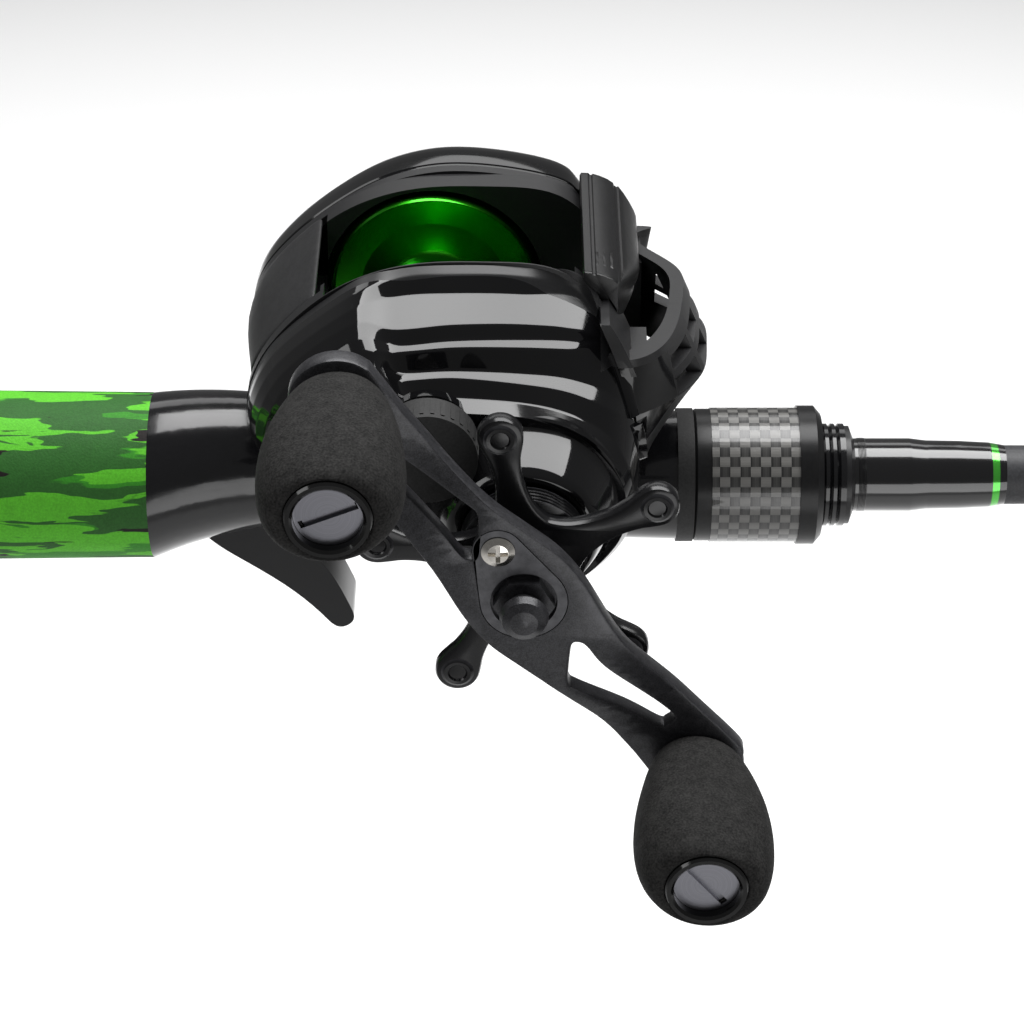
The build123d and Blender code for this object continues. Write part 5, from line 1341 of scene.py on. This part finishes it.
class ROD_OT_ribs(BuildStep, bpy.types.Operator):
    """Stands ribs round the cast cap and lays the bright windings"""
    bl_idname = "rod.ribs_and_windings"
    bl_label = "Ribs and windings"
    builders = (cap_ribs, windings)


# ------------------------------------------------------------------ stage
# Name, place, aim, width, height and power of each area light.
LIGHTS = (
    ("overhead", (0.3, 0.24, 0.8), (0.3, 0.0, 0.02), 1.15, 0.5, 12.4),
    ("left box", (-0.62, -0.2, 0.5), (0.0, 0.0, 0.0), 0.4, 0.3, 1.1),
    ("front fill", (0.3, -0.85, -0.22), (0.01, 0.0, 0.0), 0.6, 0.5, 2.0),
    ("floor wash", (0.0, 1.0, -0.2), (0.0, 1.0, -0.62), 1.5, 1.3, 8.0),
    ("rear panel", (0.0, 0.78, 0.52), (0.0, 0.0, 0.03), 1.1, 0.26, 1.3),
)
FLOOR_Z, FLOOR_HALF = -0.62, 6.0


def area_light(name, place, aim, width, height, power):
    light = bpy.data.lights.new(name, "AREA")
    light.shape = "RECTANGLE"
    light.size, light.size_y = width, height
    light.energy = power
    obj = bpy.data.objects.new(name, light)
    obj.location = place
    obj.rotation_euler = (Vector(aim) - Vector(place)).to_track_quat("-Z", "Y").to_euler()
    bpy.context.collection.objects.link(obj)


class ROD_OT_stage(bpy.types.Operator):
    """Sets the pale floor, the soft studio light and the camera"""
    bl_idname = "rod.stage"
    bl_label = "Floor, light and camera"

    def execute(self, context):
        mesh = bpy.data.meshes.new("floor")
        z, r = FLOOR_Z, FLOOR_HALF
        mesh.from_pydata([(-r, -r, z), (r, -r, z), (r, r, z), (-r, r, z)], [], [(0, 1, 2, 3)])
        floor = bpy.data.objects.new("floor", mesh)
        bpy.context.collection.objects.link(floor)
        white = bpy.data.materials.new("pale floor")
        white.use_nodes = True
        shader = white.node_tree.nodes["Principled BSDF"]
        shader.inputs["Base Color"].default_value = (0.9, 0.9, 0.9, 1)
        shader.inputs["Roughness"].default_value = 0.9
        mesh.materials.append(white)
        world = bpy.data.worlds.new("studio")
        context.scene.world = world
        world.use_nodes = True
        world.node_tree.nodes["Background"].inputs[0].default_value = (1.0, 1.0, 1.0, 1)
        world.node_tree.nodes["Background"].inputs[1].default_value = 0.14
        for values in LIGHTS:
            area_light(*values)
        camera = bpy.data.cameras.new("camera")
        holder = bpy.data.objects.new("camera", camera)
        bpy.context.collection.objects.link(holder)
        holder.location = (0.013, -0.4730, 0.2996)
        holder.rotation_euler = (math.radians(57.0), 0.0, 0.0)
        camera.sensor_width = 36.0
        camera.lens = 116.0
        camera.clip_start = 0.02
        camera.clip_end = 20.0
        context.scene.camera = holder
        context.scene.view_settings.view_transform = "Standard"
        return {"FINISHED"}


class ROD_PT_panel(bpy.types.Panel):
    """Lists the steps that build the rod and reel"""
    bl_idname = "ROD_PT_panel"
    bl_label = "Casting rod and reel"
    bl_space_type = "VIEW_3D"
    bl_region_type = "UI"
    bl_category = "Casting reel"

    def draw(self, context):
        for group in (context.scene.rod_sizes, context.scene.rod_colours):
            for key in group.bl_rna.properties.keys():
                if key not in ("rna_type", "name"):
                    self.layout.prop(group, key)
        for step in STEPS:
            self.layout.operator(step.bl_idname)


STEPS = (ROD_OT_finishes, ROD_OT_side_cover, ROD_OT_palm_cover, ROD_OT_spool, ROD_OT_top, ROD_OT_crank,
         ROD_OT_knobs,
         ROD_OT_ribs, ROD_OT_stage)
CLASSES = (ROD_PG_sizes, ROD_PG_colours) + STEPS + (ROD_PT_panel,)


def register():
    for item in CLASSES:
        bpy.utils.register_class(item)
    bpy.types.Scene.rod_sizes = bpy.props.PointerProperty(type=ROD_PG_sizes)
    bpy.types.Scene.rod_colours = bpy.props.PointerProperty(type=ROD_PG_colours)


def unregister():
    del bpy.types.Scene.rod_sizes
    del bpy.types.Scene.rod_colours
    for item in reversed(CLASSES):
        bpy.utils.unregister_class(item)


def main():
    register()
    for step in STEPS:
        group, name = step.bl_idname.split(".")
        getattr(getattr(bpy.ops, group), name)()
    bpy.context.view_layer.update()


if __name__ == "__main__":
    main()
